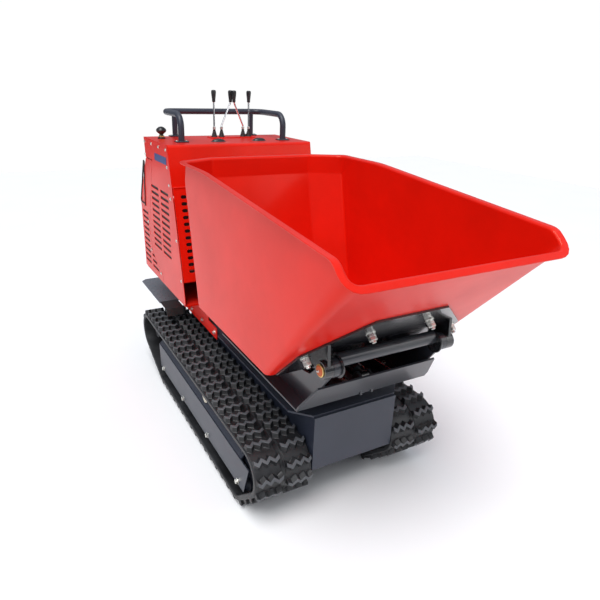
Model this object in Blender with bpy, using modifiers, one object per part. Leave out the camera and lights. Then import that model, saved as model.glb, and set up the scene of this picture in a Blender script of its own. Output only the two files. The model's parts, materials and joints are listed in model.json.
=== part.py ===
"""Tracked swivel dumper: one object for each sub-part, in metres, +Z up.

The machine drives towards -Y, its left side is at +X, and it stands on its tracks at z = 0.
The origin lies on the ground under the middle of its overall length.
"""

import math

import bmesh
import bpy
from mathutils import Matrix, Vector

# ---- driving dimensions -------------------------------------------------------------------
MESH_GAP = 0.0003            # gap between pieces that touch
FRONT_Y = -1.200             # foremost point, the lip of the skip
REAR_Y = 1.200               # rearmost point, the back of the platform

# Tracks
TRACK_X = 0.332              # middle of a track from the machine's middle
TRACK_WIDTH = 0.254
BELT_THICKNESS = 0.022
LUG_HEIGHT = 0.022
LUG_PITCH = 0.072
WHEEL_TIP_RADIUS = 0.130     # end wheel, with belt and lug
ROLLER_TIP_RADIUS = 0.098    # bottom roller, with belt and lug
END_WHEEL_Z = 0.238
IDLER_Y = -0.611
SPROCKET_Y = 0.840
FRONT_ROLLER_Y = -0.507
REAR_ROLLER_Y = 0.576
ROLLER_COUNT = 4
SPROCKET_TEETH = 8
SPROCKET_TOOTH = 0.014       # height of a tooth
SPROCKET_THICKNESS = 0.036
HUB_RADIUS = 0.050
HUB_REACH = 0.070            # from the track's middle to the hub's outer end
ROLLER_HALF_WIDTH = 0.070
GROOVE_HALF_WIDTH = 0.024    # groove that the belt's guide blocks run in
GROOVE_FLOOR_HALF_WIDTH = 0.020
GROOVE_DEPTH = 0.020
IDLER_HALF_WIDTH = 0.050
IDLER_DISC_HALF_WIDTH = 0.045
IDLER_AXLE_RADIUS = 0.022
IDLER_AXLE_REACH = 0.072
IDLER_RIM = 0.018            # depth of the idler's rim
ROLL_GAP = 0.0015            # the facets of the belt's inside stay off the wheels
TOP_ROLLER_Y = -0.100
TOP_ROLLER_RADIUS = 0.032
TOP_ROLLER_SPAN = (0.030, 0.098)   # inner and outer end from the track's middle
LUG_SHAPE = ((0.02, 0.0), (0.10, 1.0), (0.26, 1.0), (0.42, 1.0), (0.50, 0.0), (0.67, 0.0), (0.84, 0.0))

# Track frame
FRAME_HALF_WIDTH = 0.104
FRAME_WALL = 0.008
FRAME_BOTTOM_Z = 0.078
FRAME_SHOULDER_Z = 0.235
FRAME_TOP_Z = 0.296
FRAME_CROWN_HALF_WIDTH = 0.040
FRAME_FRONT_REACH = 0.022    # beyond the front roller's axle
FRAME_REAR_REACH = 0.080     # beyond the rear roller's axle
ARM_Z = (0.205, 0.270)       # arms that carry the idler
ARM_X = (-0.080, 0.072)
ARM_REACH = 0.085
ARM_ROOT = 0.020
GUARD_THICKNESS = 0.005
GUARD_BOTTOM_Z = 0.090
GUARD_TOP_Z = 0.236
GUARD_FRONT_REACH = 0.060
GUARD_REAR_REACH = 0.065
GUARD_FRONT_RAKE = 0.050
GUARD_REAR_RAKE = 0.012
AXLE_RADIUS = 0.014
CROSS_BEAM_Y = (-0.33, 0.38)
CROSS_BEAM_SIZE = 0.080
CROSS_BEAM_BOTTOM_Z = 0.150

# Chassis
BOX_HALF_WIDTH = 0.2005
BOX_FRONT_Y = -0.7153
BOX_REAR_Y = 0.760
BOX_BOTTOM_Z = 0.226
BOX_WALL = 0.010
CROSS_WALLS = (-0.235, 0.245)
HUB_GAP = 0.0005
DECK_TOP_Z = 0.484
DECK_THICKNESS = 0.008
DECK_HALF_WIDTH = 0.274
DECK_FRONT_Y = -0.705
DECK_CHAMFER_X = 0.074
DECK_CHAMFER_Y = 0.078

# Turntable
SWIVEL_Y = -0.235
RING_RADIUS = 0.210
RING_GAP = 0.0005
RING_WIDTH = 0.050
RING_TOP_Z = 0.565
TRAY_THICKNESS = 0.008
TRAY_HALF_WIDTH = 0.310
TRAY_FRONT_Y = -0.755
TRAY_REAR_Y = 0.050
TRAY_CHAMFER = 0.080
TRAY_LIP_Y = -0.835          # top of the front wall, which leans forwards
TRAY_LIP_Z = 0.6924
TRAY_LIP_HALF_WIDTH = 0.2714
EAR_X = 0.2475
EAR_THICKNESS = 0.010

# Hinge of the skip
HINGE_RISE = 0.1426          # from the foot of the skip's front panel, along the panel
HINGE_OFFSET = 0.0616        # off the outer face of that panel
BOSS_RADIUS = 0.034
BOSS_LENGTH = 0.035
BOSS_INNER_X = 0.2185
BOSS_GAP = 0.001
PIN_RADIUS = 0.0125
PIN_CLEARANCE = 0.0006
CROSS_TUBE_RADIUS = 0.025
CROSS_TUBE_OFFSET = (0.010, 0.018)   # from the hinge axis, back and up
CROSS_TUBE_LAP = 0.002       # how far the tube runs into the bosses

# Skip
SKIP_HALF_WIDTH = 0.420
SKIP_SHEET = 0.005
SKIP_FLOOR_Z = 0.725
SKIP_FLOOR_FRONT_Y = -0.726
SKIP_RIM_Z = 1.360
SKIP_RIM_BEND_Y = -0.170
SKIP_SIDE_TOP_Y = -1.121
SKIP_SIDE_TOP_Z = 1.280
SKIP_LIP_Y = -1.182
SKIP_LIP_Z = 1.2236
SKIP_BAND_Z = 1.270          # fold under the upright band of the rear wall
SKIP_BACK_Y = 0.195
SKIP_BACK_SLOPE = 0.240
SKIP_BACK_HALF_WIDTH = 0.260
SKIP_CORNER_DEPTH = 0.078
FLANGE_WIDTH = 0.025

# Unit direction up the skip's front panel, and the hinge axis that it gives, in (y, z)
PANEL_FOOT = Vector((SKIP_FLOOR_FRONT_Y, SKIP_FLOOR_Z + SKIP_SHEET))
PANEL_UP = (Vector((SKIP_LIP_Y, SKIP_LIP_Z)) - PANEL_FOOT).normalized()
HINGE_Y = SKIP_FLOOR_FRONT_Y + PANEL_UP.x * HINGE_RISE - PANEL_UP.y * HINGE_OFFSET
HINGE_Z = SKIP_FLOOR_Z + SKIP_SHEET + PANEL_UP.y * HINGE_RISE + PANEL_UP.x * HINGE_OFFSET

# Tilt frame, bolted under the front panel of the skip
TILT_PLATE = 0.008
TILT_TOP = (0.154, 0.363)    # half width, distance up the front panel
TILT_SIDE = (0.360, 0.165)
TILT_FOOT = (0.385, 0.004)
RAIL_X = 0.120
RAIL_WIDTH = 0.020
RAIL_DEPTH = 0.018
RAIL_REAR_Y = -0.200
TIE_HALF_WIDTH = 0.230

# Tipping cylinder
CYLINDER_BASE = (-0.735, 0.630)
CYLINDER_EYE = (-0.295, 0.685)
BARREL_RADIUS = 0.028
BARREL_START = 0.036
BARREL_NECK_RADIUS = 0.016
BARREL_END = 0.385
ROD_RADIUS = 0.0125
ROD_INNER_END = 0.055
ROD_CLEARANCE = 0.0010
EYE_RADIUS = 0.021
EYE_WIDTH = 0.036
CLEVIS_GAP = 0.003
CLEVIS_PLATE = 0.010

# Engine housing
HOUSING_HALF_WIDTH = 0.402
PANEL = 0.003
HOUSING_BOTTOM_Z = 0.625
HOUSING_TOP_Z = 1.397
HOUSING_FRONT_TOP_Y = 0.421
HOUSING_FRONT_SLOPE = 0.244
HOUSING_TOP_REAR_Y = 0.851
CONSOLE_TOP = (0.830, 1.290)
CONSOLE_FOOT = (1.008, 1.030)
HOUSING_REAR_FOOT_Y = 0.987
HOUSING_FRONT_FOOT_Z = 0.660
BAND_FOOT = (0.832, 1.292)   # rear lower corner of the band under the hood
SIDE_JOINT = ((0.628, 0.670), (0.737, 0.712), (0.815, 0.780), (0.840, 0.906), (0.705, 1.292))
SIDE_JOINT_FOOT_Y = 0.616
PANEL_SEAM = 0.002
CROWN = 0.018
DOOR_THICKNESS = 0.012
DOOR_SEAM = 0.006
DOOR_FOOT_GAP = 0.015
DOOR_TOP_GAP = 0.012
DOOR_HINGE_X = HOUSING_HALF_WIDTH - 0.002
DOOR_HINGE_OFFSET = 0.009    # of the hinge's axis from the door's face
KNUCKLE_RADIUS = 0.006
KNUCKLE_LENGTH = 0.050
KNUCKLE_Z = (0.720, 0.940)
LEDGE_Z = 1.200
GRILLE_BOTTOM_Z = 0.745
GRILLE_DEPTH = 0.008
HOUSING_FLOOR = 0.008
SKIRT_X = 0.2745
SKIRT_BOTTOM_Z = 0.460
SKIRT_FRONT_Y = 0.130
SKIRT_FRONT_Z = 0.520
SKIRT_REAR_Y = 0.755

# Controls, rail and platform
RAIL_TUBE_RADIUS = 0.016
RAIL_HALF_WIDTH = 0.290
RAIL_FRONT_FOOT_Y = 0.535
RAIL_BACK_Y = 0.830
RAIL_TOP_Z = 1.530
RAIL_CORNER = 0.060
LEVER_X = (-0.040, 0.003, 0.133, 0.168)
LEVER_LEAN = (0.0, 0.050, -0.050, 0.0)
LEVER_Y = 0.722
LEVER_TOP_Z = 1.645
LEVER_RADIUS = 0.005
LEVER_BEND = 0.060
GRIP_RADIUS = 0.013
GRIP_LENGTH = 0.062
PLATFORM_HALF_WIDTH = 0.395
PLATFORM_FRONT_Y = 0.768
PLATFORM_TOP_Z = 0.450
PLATFORM_THICKNESS = 0.006
PLATFORM_EDGE = 0.030
PLATFORM_ARM_X = (-0.150, 0.110)
PLATFORM_ARM_WIDTH = 0.040
PLATFORM_ARM_DEPTH = 0.050
FLAP_X = 0.3375
FLAP_WIDTH = 0.105
FLAP_LENGTH = 0.125
FLAP_THICKNESS = 0.006
ENGINE_SIZE = (0.46, 0.42, 0.40)
ENGINE_Y = 0.640
ENGINE_FOOT = 0.060

COLOURS = {
    "red": ((0.70, 0.02, 0.03), 0.25, 0.0),
    "blue_grey": ((0.06, 0.07, 0.10), 0.45, 0.0),
    "black_paint": ((0.02, 0.02, 0.022), 0.35, 0.0),
    "rubber": ((0.02, 0.02, 0.02), 0.75, 0.0),
    "steel": ((0.55, 0.55, 0.56), 0.35, 1.0),
    "chrome": ((0.80, 0.80, 0.82), 0.12, 1.0),
    "iron": ((0.10, 0.10, 0.11), 0.60, 0.6),
    "plate_grey": ((0.22, 0.24, 0.28), 0.50, 0.3),
}

SIDEWAYS = Matrix(((0, 0, 1), (1, 0, 0), (0, 1, 0))).to_4x4()   # outline (y, z), thickness along X
UPRIGHT = Matrix(((1, 0, 0), (0, 0, -1), (0, 1, 0))).to_4x4()   # outline (x, z), thickness along Y


# ---- scene and helpers --------------------------------------------------------------------
def clear_scene():
    for obj in list(bpy.data.objects):
        bpy.data.objects.remove(obj, do_unlink=True)


def new_collection(name):
    collection = bpy.data.collections.new(name)
    bpy.context.scene.collection.children.link(collection)
    return collection


def paint(obj, finish):
    colour, roughness, metallic = COLOURS[finish]
    material = bpy.data.materials.new(obj.name + "_" + finish)
    material.use_nodes = True
    shader = material.node_tree.nodes["Principled BSDF"]
    shader.inputs["Base Color"].default_value = (*colour, 1.0)
    shader.inputs["Roughness"].default_value = roughness
    shader.inputs["Metallic"].default_value = metallic
    obj.data.materials.clear()
    obj.data.materials.append(material)


def mesh_object(name, mesh, collection, matrix=None):
    obj = bpy.data.objects.new(name, mesh)
    collection.objects.link(obj)
    if matrix is not None:
        mesh.transform(matrix)
    return obj


def block(name, low, high, collection):
    """A box between two corners."""
    bm = bmesh.new()
    bmesh.ops.create_cube(bm, size=1.0)
    size = Vector(high) - Vector(low)
    middle = (Vector(high) + Vector(low)) / 2
    bmesh.ops.scale(bm, vec=size, verts=bm.verts)
    bmesh.ops.translate(bm, vec=middle, verts=bm.verts)
    mesh = bpy.data.meshes.new(name)
    bm.to_mesh(mesh)
    bm.free()
    return mesh_object(name, mesh, collection)


def cylinder_x(name, x_low, x_high, y, z, radius, collection, sides=24):
    """A cylinder along X."""
    bm = bmesh.new()
    bmesh.ops.create_cone(bm, cap_ends=True, segments=sides, radius1=radius, radius2=radius,
                          depth=x_high - x_low)
    mesh = bpy.data.meshes.new(name)
    bm.to_mesh(mesh)
    bm.free()
    place = Matrix.Translation(((x_low + x_high) / 2, y, z)) @ SIDEWAYS
    return mesh_object(name, mesh, collection, place)


def curve_to_mesh(name, curve, collection, matrix):
    """Turns a curve into a welded mesh, with its place in the mesh."""
    source = bpy.data.objects.new(name + "_curve", curve)
    collection.objects.link(source)
    bpy.context.view_layer.update()
    graph = bpy.context.evaluated_depsgraph_get()
    mesh = bpy.data.meshes.new_from_object(source.evaluated_get(graph))
    mesh.name = name
    bm = bmesh.new()
    bm.from_mesh(mesh)
    bmesh.ops.remove_doubles(bm, verts=bm.verts, dist=0.00001)
    bmesh.ops.recalc_face_normals(bm, faces=bm.faces)
    bm.to_mesh(mesh)
    bm.free()
    bpy.data.objects.remove(source, do_unlink=True)
    return mesh_object(name, mesh, collection, matrix)


def plate(name, outline, thickness, matrix, collection, holes=()):
    """A flat plate: a filled outline in the matrix's local XY plane, centred on its thickness."""
    curve = bpy.data.curves.new(name, "CURVE")
    curve.dimensions = "2D"
    curve.fill_mode = "BOTH"
    curve.extrude = thickness / 2
    for points in (outline, *holes):
        spline = curve.splines.new("POLY")
        spline.points.add(len(points) - 1)
        for point, (u, v) in zip(spline.points, points):
            point.co = (u, v, 0.0, 1.0)
        spline.use_cyclic_u = True
    return curve_to_mesh(name, curve, collection, matrix)


def tube(name, points, radius, collection, resolution=3):
    """A round bar along a list of points, with filled ends."""
    curve = bpy.data.curves.new(name, "CURVE")
    curve.dimensions = "3D"
    curve.bevel_depth = radius
    curve.bevel_resolution = resolution
    curve.use_fill_caps = True
    spline = curve.splines.new("POLY")
    spline.points.add(len(points) - 1)
    for point, place in zip(spline.points, points):
        point.co = (*place, 1.0)
    return curve_to_mesh(name, curve, collection, Matrix())


def turned(name, profile, matrix, collection, steps=24):
    """A turned solid: (radius, height) pairs from the top of the axis down to its bottom."""
    mesh = bpy.data.meshes.new(name)
    points = [(radius, 0.0, height) for radius, height in profile]
    mesh.from_pydata(points, [(i, i + 1) for i in range(len(points) - 1)], [])
    obj = mesh_object(name, mesh, collection)
    screw = obj.modifiers.new("turn", "SCREW")
    screw.axis = "Z"
    screw.steps = steps
    screw.render_steps = steps
    screw.use_merge_vertices = True
    screw.merge_threshold = 0.0001
    screw.use_smooth_shade = True
    apply_modifiers(obj)
    obj.data.transform(matrix)
    return obj


def apply_modifiers(obj):
    """Bakes an object's modifiers into its mesh."""
    bpy.context.view_layer.update()
    graph = bpy.context.evaluated_depsgraph_get()
    mesh = bpy.data.meshes.new_from_object(obj.evaluated_get(graph))
    obj.modifiers.clear()
    obj.data = mesh


def boolean(obj, other, operation, cutters):
    """Joins another solid to this one, or cuts it away, and keeps the tool hidden."""
    modifier = obj.modifiers.new(operation.lower(), "BOOLEAN")
    modifier.operation = operation
    modifier.solver = "EXACT"
    modifier.object = other
    for collection in list(other.users_collection):
        collection.objects.unlink(other)
    cutters.objects.link(other)
    other.hide_render = True
    other.display_type = "WIRE"


def join(obj, others, cutters):
    for other in others:
        boolean(obj, other, "UNION", cutters)
    return obj


def cut(obj, others, cutters):
    for other in others:
        boolean(obj, other, "DIFFERENCE", cutters)
    return obj


def mirrored(points):
    """A half outline at +X, bottom to top, and its mirror image at -X."""
    return points + [(-u, v) for u, v in reversed(points)]


# ---- track loop ---------------------------------------------------------------------------
def loop_parts(wheels):
    """The path round a set of wheels, as straight and curved parts in running order.

    Each wheel is (y, z, radius), in clockwise order seen from +X with +Y to the right.
    """
    tangents = []
    for index, (y0, z0, r0) in enumerate(wheels):
        y1, z1, r1 = wheels[(index + 1) % len(wheels)]
        span = Vector((y1 - y0, z1 - z0))
        along = span.normalized()
        outward = Vector((-along.y, along.x))
        tilt = math.asin((r1 - r0) / span.length)
        normal = outward * math.cos(tilt) - along * math.sin(tilt)
        tangents.append(normal)
    parts = []
    for index, (y0, z0, r0) in enumerate(wheels):
        before = tangents[index - 1]
        after = tangents[index]
        start = math.atan2(before.y, before.x)
        turn = (start - math.atan2(after.y, after.x)) % math.tau
        centre = Vector((y0, z0))
        parts.append(("arc", centre, r0, start, turn))
        y1, z1, r1 = wheels[(index + 1) % len(wheels)]
        first = centre + after * r0
        last = Vector((y1, z1)) + after * r1
        parts.append(("line", first, last, after, (last - first).length))
    return parts


def loop_length(parts):
    return sum(part[2] * part[4] if part[0] == "arc" else part[4] for part in parts)


def loop_point(parts, distance, height):
    """The point at a distance along the path, raised outwards by a height."""
    for part in parts:
        length = part[2] * part[4] if part[0] == "arc" else part[4]
        if distance <= length:
            break
        distance -= length
    if part[0] == "arc":
        angle = part[3] - distance / part[2]
        normal = Vector((math.cos(angle), math.sin(angle)))
        return tuple(part[1] + normal * (part[2] + height))
    along = (part[2] - part[1]) * (distance / part[4])
    return tuple(part[1] + along + part[3] * height)


def track_wheels(reduction):
    """The four wheels that bound the loop, each smaller than its tip radius by a reduction."""
    end = WHEEL_TIP_RADIUS - reduction
    roller = ROLLER_TIP_RADIUS - reduction
    return [
        (IDLER_Y, END_WHEEL_Z, end),
        (SPROCKET_Y, END_WHEEL_Z, end),
        (REAR_ROLLER_Y, ROLLER_TIP_RADIUS, roller),
        (FRONT_ROLLER_Y, ROLLER_TIP_RADIUS, roller),
    ]


def track(name, side, parts):
    """A rubber belt with its lugs as one closed loop."""
    surface = loop_parts(track_wheels(LUG_HEIGHT))
    length = loop_length(surface)
    count = round(length / LUG_PITCH)
    outer = [loop_point(surface, (k + share) * length / count, rise * LUG_HEIGHT)
             for k in range(count) for share, rise in LUG_SHAPE]
    inner_path = loop_parts(track_wheels(LUG_HEIGHT + BELT_THICKNESS))
    inner_length = loop_length(inner_path)
    inner_count = 3 * count
    inner = [loop_point(inner_path, k * inner_length / inner_count, 0.0) for k in range(inner_count)]
    place = Matrix.Translation((side * TRACK_X, 0, 0)) @ SIDEWAYS
    obj = plate(name, outer, TRACK_WIDTH, place, parts, holes=[inner])
    paint(obj, "rubber")
    return obj


# ---- undercarriage ------------------------------------------------------------------------
def roller_ys():
    step = (REAR_ROLLER_Y - FRONT_ROLLER_Y) / (ROLLER_COUNT - 1)
    return [FRONT_ROLLER_Y + step * k for k in range(ROLLER_COUNT)]


def roller(name, y, collection):
    """A bottom roller with its axle: two treads with a groove for the belt's guide blocks."""
    tread = ROLLER_TIP_RADIUS - LUG_HEIGHT - BELT_THICKNESS - ROLL_GAP
    reach = FRAME_HALF_WIDTH - FRAME_WALL / 2
    groove = tread - GROOVE_DEPTH
    wide = ROLLER_HALF_WIDTH
    half = [(0, reach), (AXLE_RADIUS, reach), (AXLE_RADIUS, wide), (tread, wide), (tread, GROOVE_HALF_WIDTH),
            (groove, GROOVE_FLOOR_HALF_WIDTH)]
    profile = half + [(radius, -x) for radius, x in reversed(half)]
    place = Matrix.Translation((0, y, ROLLER_TIP_RADIUS)) @ SIDEWAYS
    return turned(name, profile, place, collection, steps=16)


def track_frame(side, parts, cutters):
    """The beam inside a track, with its rollers and the beams that tie it to the chassis."""
    name = "track_frame_left" if side > 0 else "track_frame_right"
    outer = [(FRAME_HALF_WIDTH, FRAME_BOTTOM_Z), (FRAME_HALF_WIDTH, FRAME_SHOULDER_Z),
             (FRAME_CROWN_HALF_WIDTH, FRAME_TOP_Z)]
    inner = [(FRAME_HALF_WIDTH - FRAME_WALL, FRAME_BOTTOM_Z),
             (FRAME_HALF_WIDTH - FRAME_WALL, FRAME_SHOULDER_Z - 0.004),
             (FRAME_CROWN_HALF_WIDTH - 0.003, FRAME_TOP_Z - FRAME_WALL)]
    left = [(-u, v) for u, v in reversed(outer)]
    section = outer + left + [(-u, v) for u, v in inner] + list(reversed(inner))
    front_y = FRONT_ROLLER_Y - FRAME_FRONT_REACH
    rear_y = REAR_ROLLER_Y + FRAME_REAR_REACH
    length = rear_y - front_y
    place = Matrix.Translation((0, (front_y + rear_y) / 2, 0)) @ UPRIGHT
    frame = plate(name, section, length, place, parts)
    tools = [roller(f"{name}_roller_{k}", y, parts) for k, y in enumerate(roller_ys())]
    top_z = END_WHEEL_Z + WHEEL_TIP_RADIUS - LUG_HEIGHT - BELT_THICKNESS - TOP_ROLLER_RADIUS - MESH_GAP
    tools.append(cylinder_x(name + "_top_roller", *TOP_ROLLER_SPAN, TOP_ROLLER_Y, top_z, TOP_ROLLER_RADIUS,
                            parts))
    root_y = front_y + ARM_ROOT
    low_z, high_z = ARM_Z
    for k, x in enumerate(ARM_X):
        tools.append(block(f"{name}_arm_{k}", (x, front_y - ARM_REACH, low_z), (x + FRAME_WALL, root_y, high_z),
                           parts))
        tools.append(block(f"{name}_arm_root_{k}", (x - FRAME_WALL, root_y - FRAME_WALL, low_z),
                           (x + ARM_ROOT, root_y, high_z - FRAME_WALL), parts))
    reach = TRACK_X - BOX_HALF_WIDTH - MESH_GAP
    for k, y in enumerate(CROSS_BEAM_Y):
        half = CROSS_BEAM_SIZE / 2
        low = (-reach, y - half, CROSS_BEAM_BOTTOM_Z)
        high = (FRAME_WALL / 2 - FRAME_HALF_WIDTH, y + half, BOX_BOTTOM_Z)
        tools.append(block(f"{name}_beam_{k}", low, high, parts))
    for tool in tools:
        boolean(frame, tool, "UNION", cutters)
    apply_modifiers(frame)
    mirror = Matrix.Diagonal((side, 1, 1, 1))
    frame.data.transform(Matrix.Translation((side * TRACK_X, 0, 0)) @ mirror)
    if side < 0:
        frame.data.flip_normals()
    paint(frame, "blue_grey")
    return frame


def track_guard(side, parts):
    """The strip bolted over the outer ends of the roller axles."""
    name = "track_guard_left" if side > 0 else "track_guard_right"
    front = FRONT_ROLLER_Y - GUARD_FRONT_REACH
    rear = REAR_ROLLER_Y + GUARD_REAR_REACH
    outline = [(front, GUARD_BOTTOM_Z), (rear, GUARD_BOTTOM_Z), (rear + GUARD_REAR_RAKE, GUARD_TOP_Z),
               (front - GUARD_FRONT_RAKE, GUARD_TOP_Z)]
    x = TRACK_X + FRAME_HALF_WIDTH + MESH_GAP + GUARD_THICKNESS / 2
    place = Matrix.Translation((side * x, 0, 0)) @ SIDEWAYS
    obj = plate(name, outline, GUARD_THICKNESS, place, parts)
    paint(obj, "blue_grey")
    return obj


def idler(side, parts):
    name = "idler_left" if side > 0 else "idler_right"
    tread = WHEEL_TIP_RADIUS - LUG_HEIGHT - BELT_THICKNESS - ROLL_GAP
    groove = tread - GROOVE_DEPTH
    reach = IDLER_AXLE_REACH - MESH_GAP
    bevel = IDLER_HALF_WIDTH - IDLER_DISC_HALF_WIDTH
    half = [(0, reach), (IDLER_AXLE_RADIUS, reach), (IDLER_AXLE_RADIUS, IDLER_DISC_HALF_WIDTH),
            (tread - IDLER_RIM, IDLER_DISC_HALF_WIDTH), (tread - IDLER_RIM + bevel, IDLER_HALF_WIDTH),
            (tread, IDLER_HALF_WIDTH), (tread, GROOVE_HALF_WIDTH), (groove, GROOVE_FLOOR_HALF_WIDTH)]
    profile = half + [(radius, -x) for radius, x in reversed(half)]
    place = Matrix.Translation((side * TRACK_X, IDLER_Y, END_WHEEL_Z)) @ SIDEWAYS
    obj = turned(name, profile, place, parts, steps=28)
    paint(obj, "iron")
    return obj


def sprocket(side, parts, cutters):
    """The toothed drive wheel, with the hub of its motor out to the chassis."""
    name = "sprocket_left" if side > 0 else "sprocket_right"
    tip = WHEEL_TIP_RADIUS - LUG_HEIGHT - BELT_THICKNESS - ROLL_GAP
    root = tip - SPROCKET_TOOTH
    outline = []
    for k in range(SPROCKET_TEETH):
        for share, radius in ((-0.30, root), (-0.14, tip), (0.14, tip), (0.30, root)):
            angle = (k + share) * math.tau / SPROCKET_TEETH
            outline.append((radius * math.cos(angle), radius * math.sin(angle)))
    place = Matrix.Translation((side * TRACK_X, SPROCKET_Y, END_WHEEL_Z)) @ SIDEWAYS
    obj = plate(name, outline, SPROCKET_THICKNESS, place, parts)
    ends = sorted((side * (BOX_HALF_WIDTH + HUB_GAP), side * (TRACK_X + HUB_REACH)))
    hub = cylinder_x(name + "_hub", *ends, SPROCKET_Y, END_WHEEL_Z, HUB_RADIUS, parts)
    join(obj, [hub], cutters)
    paint(obj, "iron")
    return obj


# ---- chassis ------------------------------------------------------------------------------
def chassis_frame(parts, cutters):
    """The box frame between the tracks, open below, with cross walls."""
    top = DECK_TOP_Z - DECK_THICKNESS - MESH_GAP
    obj = block("chassis_frame", (-BOX_HALF_WIDTH, BOX_FRONT_Y, BOX_BOTTOM_Z),
                (BOX_HALF_WIDTH, BOX_REAR_Y, top), parts)
    edges = [BOX_FRONT_Y + BOX_WALL, *CROSS_WALLS, BOX_REAR_Y - BOX_WALL]
    tools = []
    for k in range(len(edges) - 1):
        low = (-BOX_HALF_WIDTH + BOX_WALL, edges[k] + (BOX_WALL if k else 0), BOX_BOTTOM_Z - 0.02)
        high = (BOX_HALF_WIDTH - BOX_WALL, edges[k + 1], top - BOX_WALL)
        tools.append(block(f"frame_bay_{k}", low, high, parts))
    cut(obj, tools, cutters)
    paint(obj, "blue_grey")
    return obj


def deck_plate(parts):
    half = [(DECK_HALF_WIDTH - DECK_CHAMFER_X, DECK_FRONT_Y),
            (DECK_HALF_WIDTH, DECK_FRONT_Y + DECK_CHAMFER_Y), (DECK_HALF_WIDTH, BOX_REAR_Y)]
    place = Matrix.Translation((0, 0, DECK_TOP_Z - DECK_THICKNESS / 2))
    obj = plate("deck_plate", mirrored(half), DECK_THICKNESS, place, parts)
    paint(obj, "blue_grey")
    return obj


def slew_ring(name, low, high, parts):
    """One race of the turntable bearing."""
    inner = RING_RADIUS - RING_WIDTH
    outline = [(RING_RADIUS * math.cos(a), RING_RADIUS * math.sin(a)) for a in angles(40)]
    hole = [(inner * math.cos(a), inner * math.sin(a)) for a in angles(28)]
    place = Matrix.Translation((0, SWIVEL_Y, (low + high) / 2))
    obj = plate(name, outline, high - low, place, parts, holes=[hole])
    paint(obj, "iron")
    return obj


def angles(count):
    return [math.tau * k / count for k in range(count)]


def platform(parts, cutters):
    """The operator's step behind the housing, with the two arms that carry it."""
    low_z = PLATFORM_TOP_Z - PLATFORM_THICKNESS
    obj = block("platform", (-PLATFORM_HALF_WIDTH, PLATFORM_FRONT_Y, low_z),
                (PLATFORM_HALF_WIDTH, REAR_Y, PLATFORM_TOP_Z), parts)
    edge_low = (-PLATFORM_HALF_WIDTH, REAR_Y - PLATFORM_THICKNESS, low_z - PLATFORM_EDGE)
    tools = [block("platform_edge", edge_low, (PLATFORM_HALF_WIDTH, REAR_Y, low_z + 0.002), parts)]
    for k, x in enumerate(PLATFORM_ARM_X):
        tools.append(block(f"platform_arm_{k}", (x, BOX_REAR_Y + MESH_GAP, low_z - PLATFORM_ARM_DEPTH),
                           (x + PLATFORM_ARM_WIDTH, REAR_Y - 2 * PLATFORM_EDGE, low_z + 0.002), parts))
    join(obj, tools, cutters)
    paint(obj, "plate_grey")
    return obj


def mud_flap(side, parts):
    """A rubber flap in front of the step, over the rear of a track."""
    name = "mud_flap_left" if side > 0 else "mud_flap_right"
    top = PLATFORM_TOP_Z
    rear = PLATFORM_FRONT_Y - MESH_GAP
    front = rear - FLAP_LENGTH
    outline = [(rear, top - FLAP_THICKNESS), (rear, top), (front, top), (front - 0.020, top - 0.040),
               (front - 0.014, top - 0.042), (front + 0.005, top - FLAP_THICKNESS)]
    place = Matrix.Translation((side * FLAP_X, 0, 0)) @ SIDEWAYS
    obj = plate(name, outline, FLAP_WIDTH, place, parts)
    paint(obj, "rubber")
    return obj


# ---- engine housing -----------------------------------------------------------------------
def housing_front_y(z):
    return HOUSING_FRONT_TOP_Y - HOUSING_FRONT_SLOPE * (HOUSING_TOP_Z - z)


def housing_rear_y(z):
    slope = (CONSOLE_FOOT[0] - HOUSING_REAR_FOOT_Y) / (CONSOLE_FOOT[1] - HOUSING_BOTTOM_Z)
    return HOUSING_REAR_FOOT_Y + slope * (z - HOUSING_BOTTOM_Z)


def side_panels(side, parts):
    """The two side panels, which meet along a bent line."""
    tag = "left" if side > 0 else "right"
    x = side * (HOUSING_HALF_WIDTH - PANEL / 2)
    place = Matrix.Translation((x, 0, 0)) @ SIDEWAYS
    front_y = housing_front_y(HOUSING_FRONT_FOOT_Z)
    joint = [(SIDE_JOINT_FOOT_Y, HOUSING_BOTTOM_Z), *SIDE_JOINT]
    front = [(front_y, HOUSING_BOTTOM_Z), (front_y, HOUSING_FRONT_FOOT_Z),
             (HOUSING_FRONT_TOP_Y, HOUSING_TOP_Z), (HOUSING_TOP_REAR_Y, HOUSING_TOP_Z), BAND_FOOT,
             *reversed(joint)]
    front_panel = plate(f"side_panel_front_{tag}", front, PANEL, place, parts)
    seam_z = BAND_FOOT[1] - PANEL_SEAM
    rear = [(y + PANEL_SEAM, z) for y, z in joint[:-1]]
    rear += [(joint[-1][0] + 2 * PANEL_SEAM, seam_z), (CONSOLE_TOP[0] - 2 * MESH_GAP, seam_z), CONSOLE_FOOT,
             (HOUSING_REAR_FOOT_Y, HOUSING_BOTTOM_Z)]
    rear_panel = plate(f"side_panel_rear_{tag}", rear, PANEL, place, parts)
    paint(front_panel, "red")
    paint(rear_panel, "red")


def across(name, outline, parts):
    """A sheet that spans the housing between its side panels, from its outline in (y, z)."""
    width = 2 * (HOUSING_HALF_WIDTH - PANEL - MESH_GAP)
    obj = plate(name, outline, width, SIDEWAYS, parts)
    paint(obj, "red")
    return obj


def band(points, thickness):
    """A thin closed outline along an open line, on its right-hand side."""
    offset = []
    for k, point in enumerate(points):
        here = Vector(point)
        before = (here - Vector(points[k - 1])).normalized() if k else None
        after = (Vector(points[k + 1]) - here).normalized() if k + 1 < len(points) else None
        along = ((before or after) + (after or before)).normalized()
        normal = Vector((along.y, -along.x))
        reach = thickness / max(0.3, along.dot(after or before))
        offset.append(tuple(here + normal * reach))
    return list(points) + list(reversed(offset))


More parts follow.
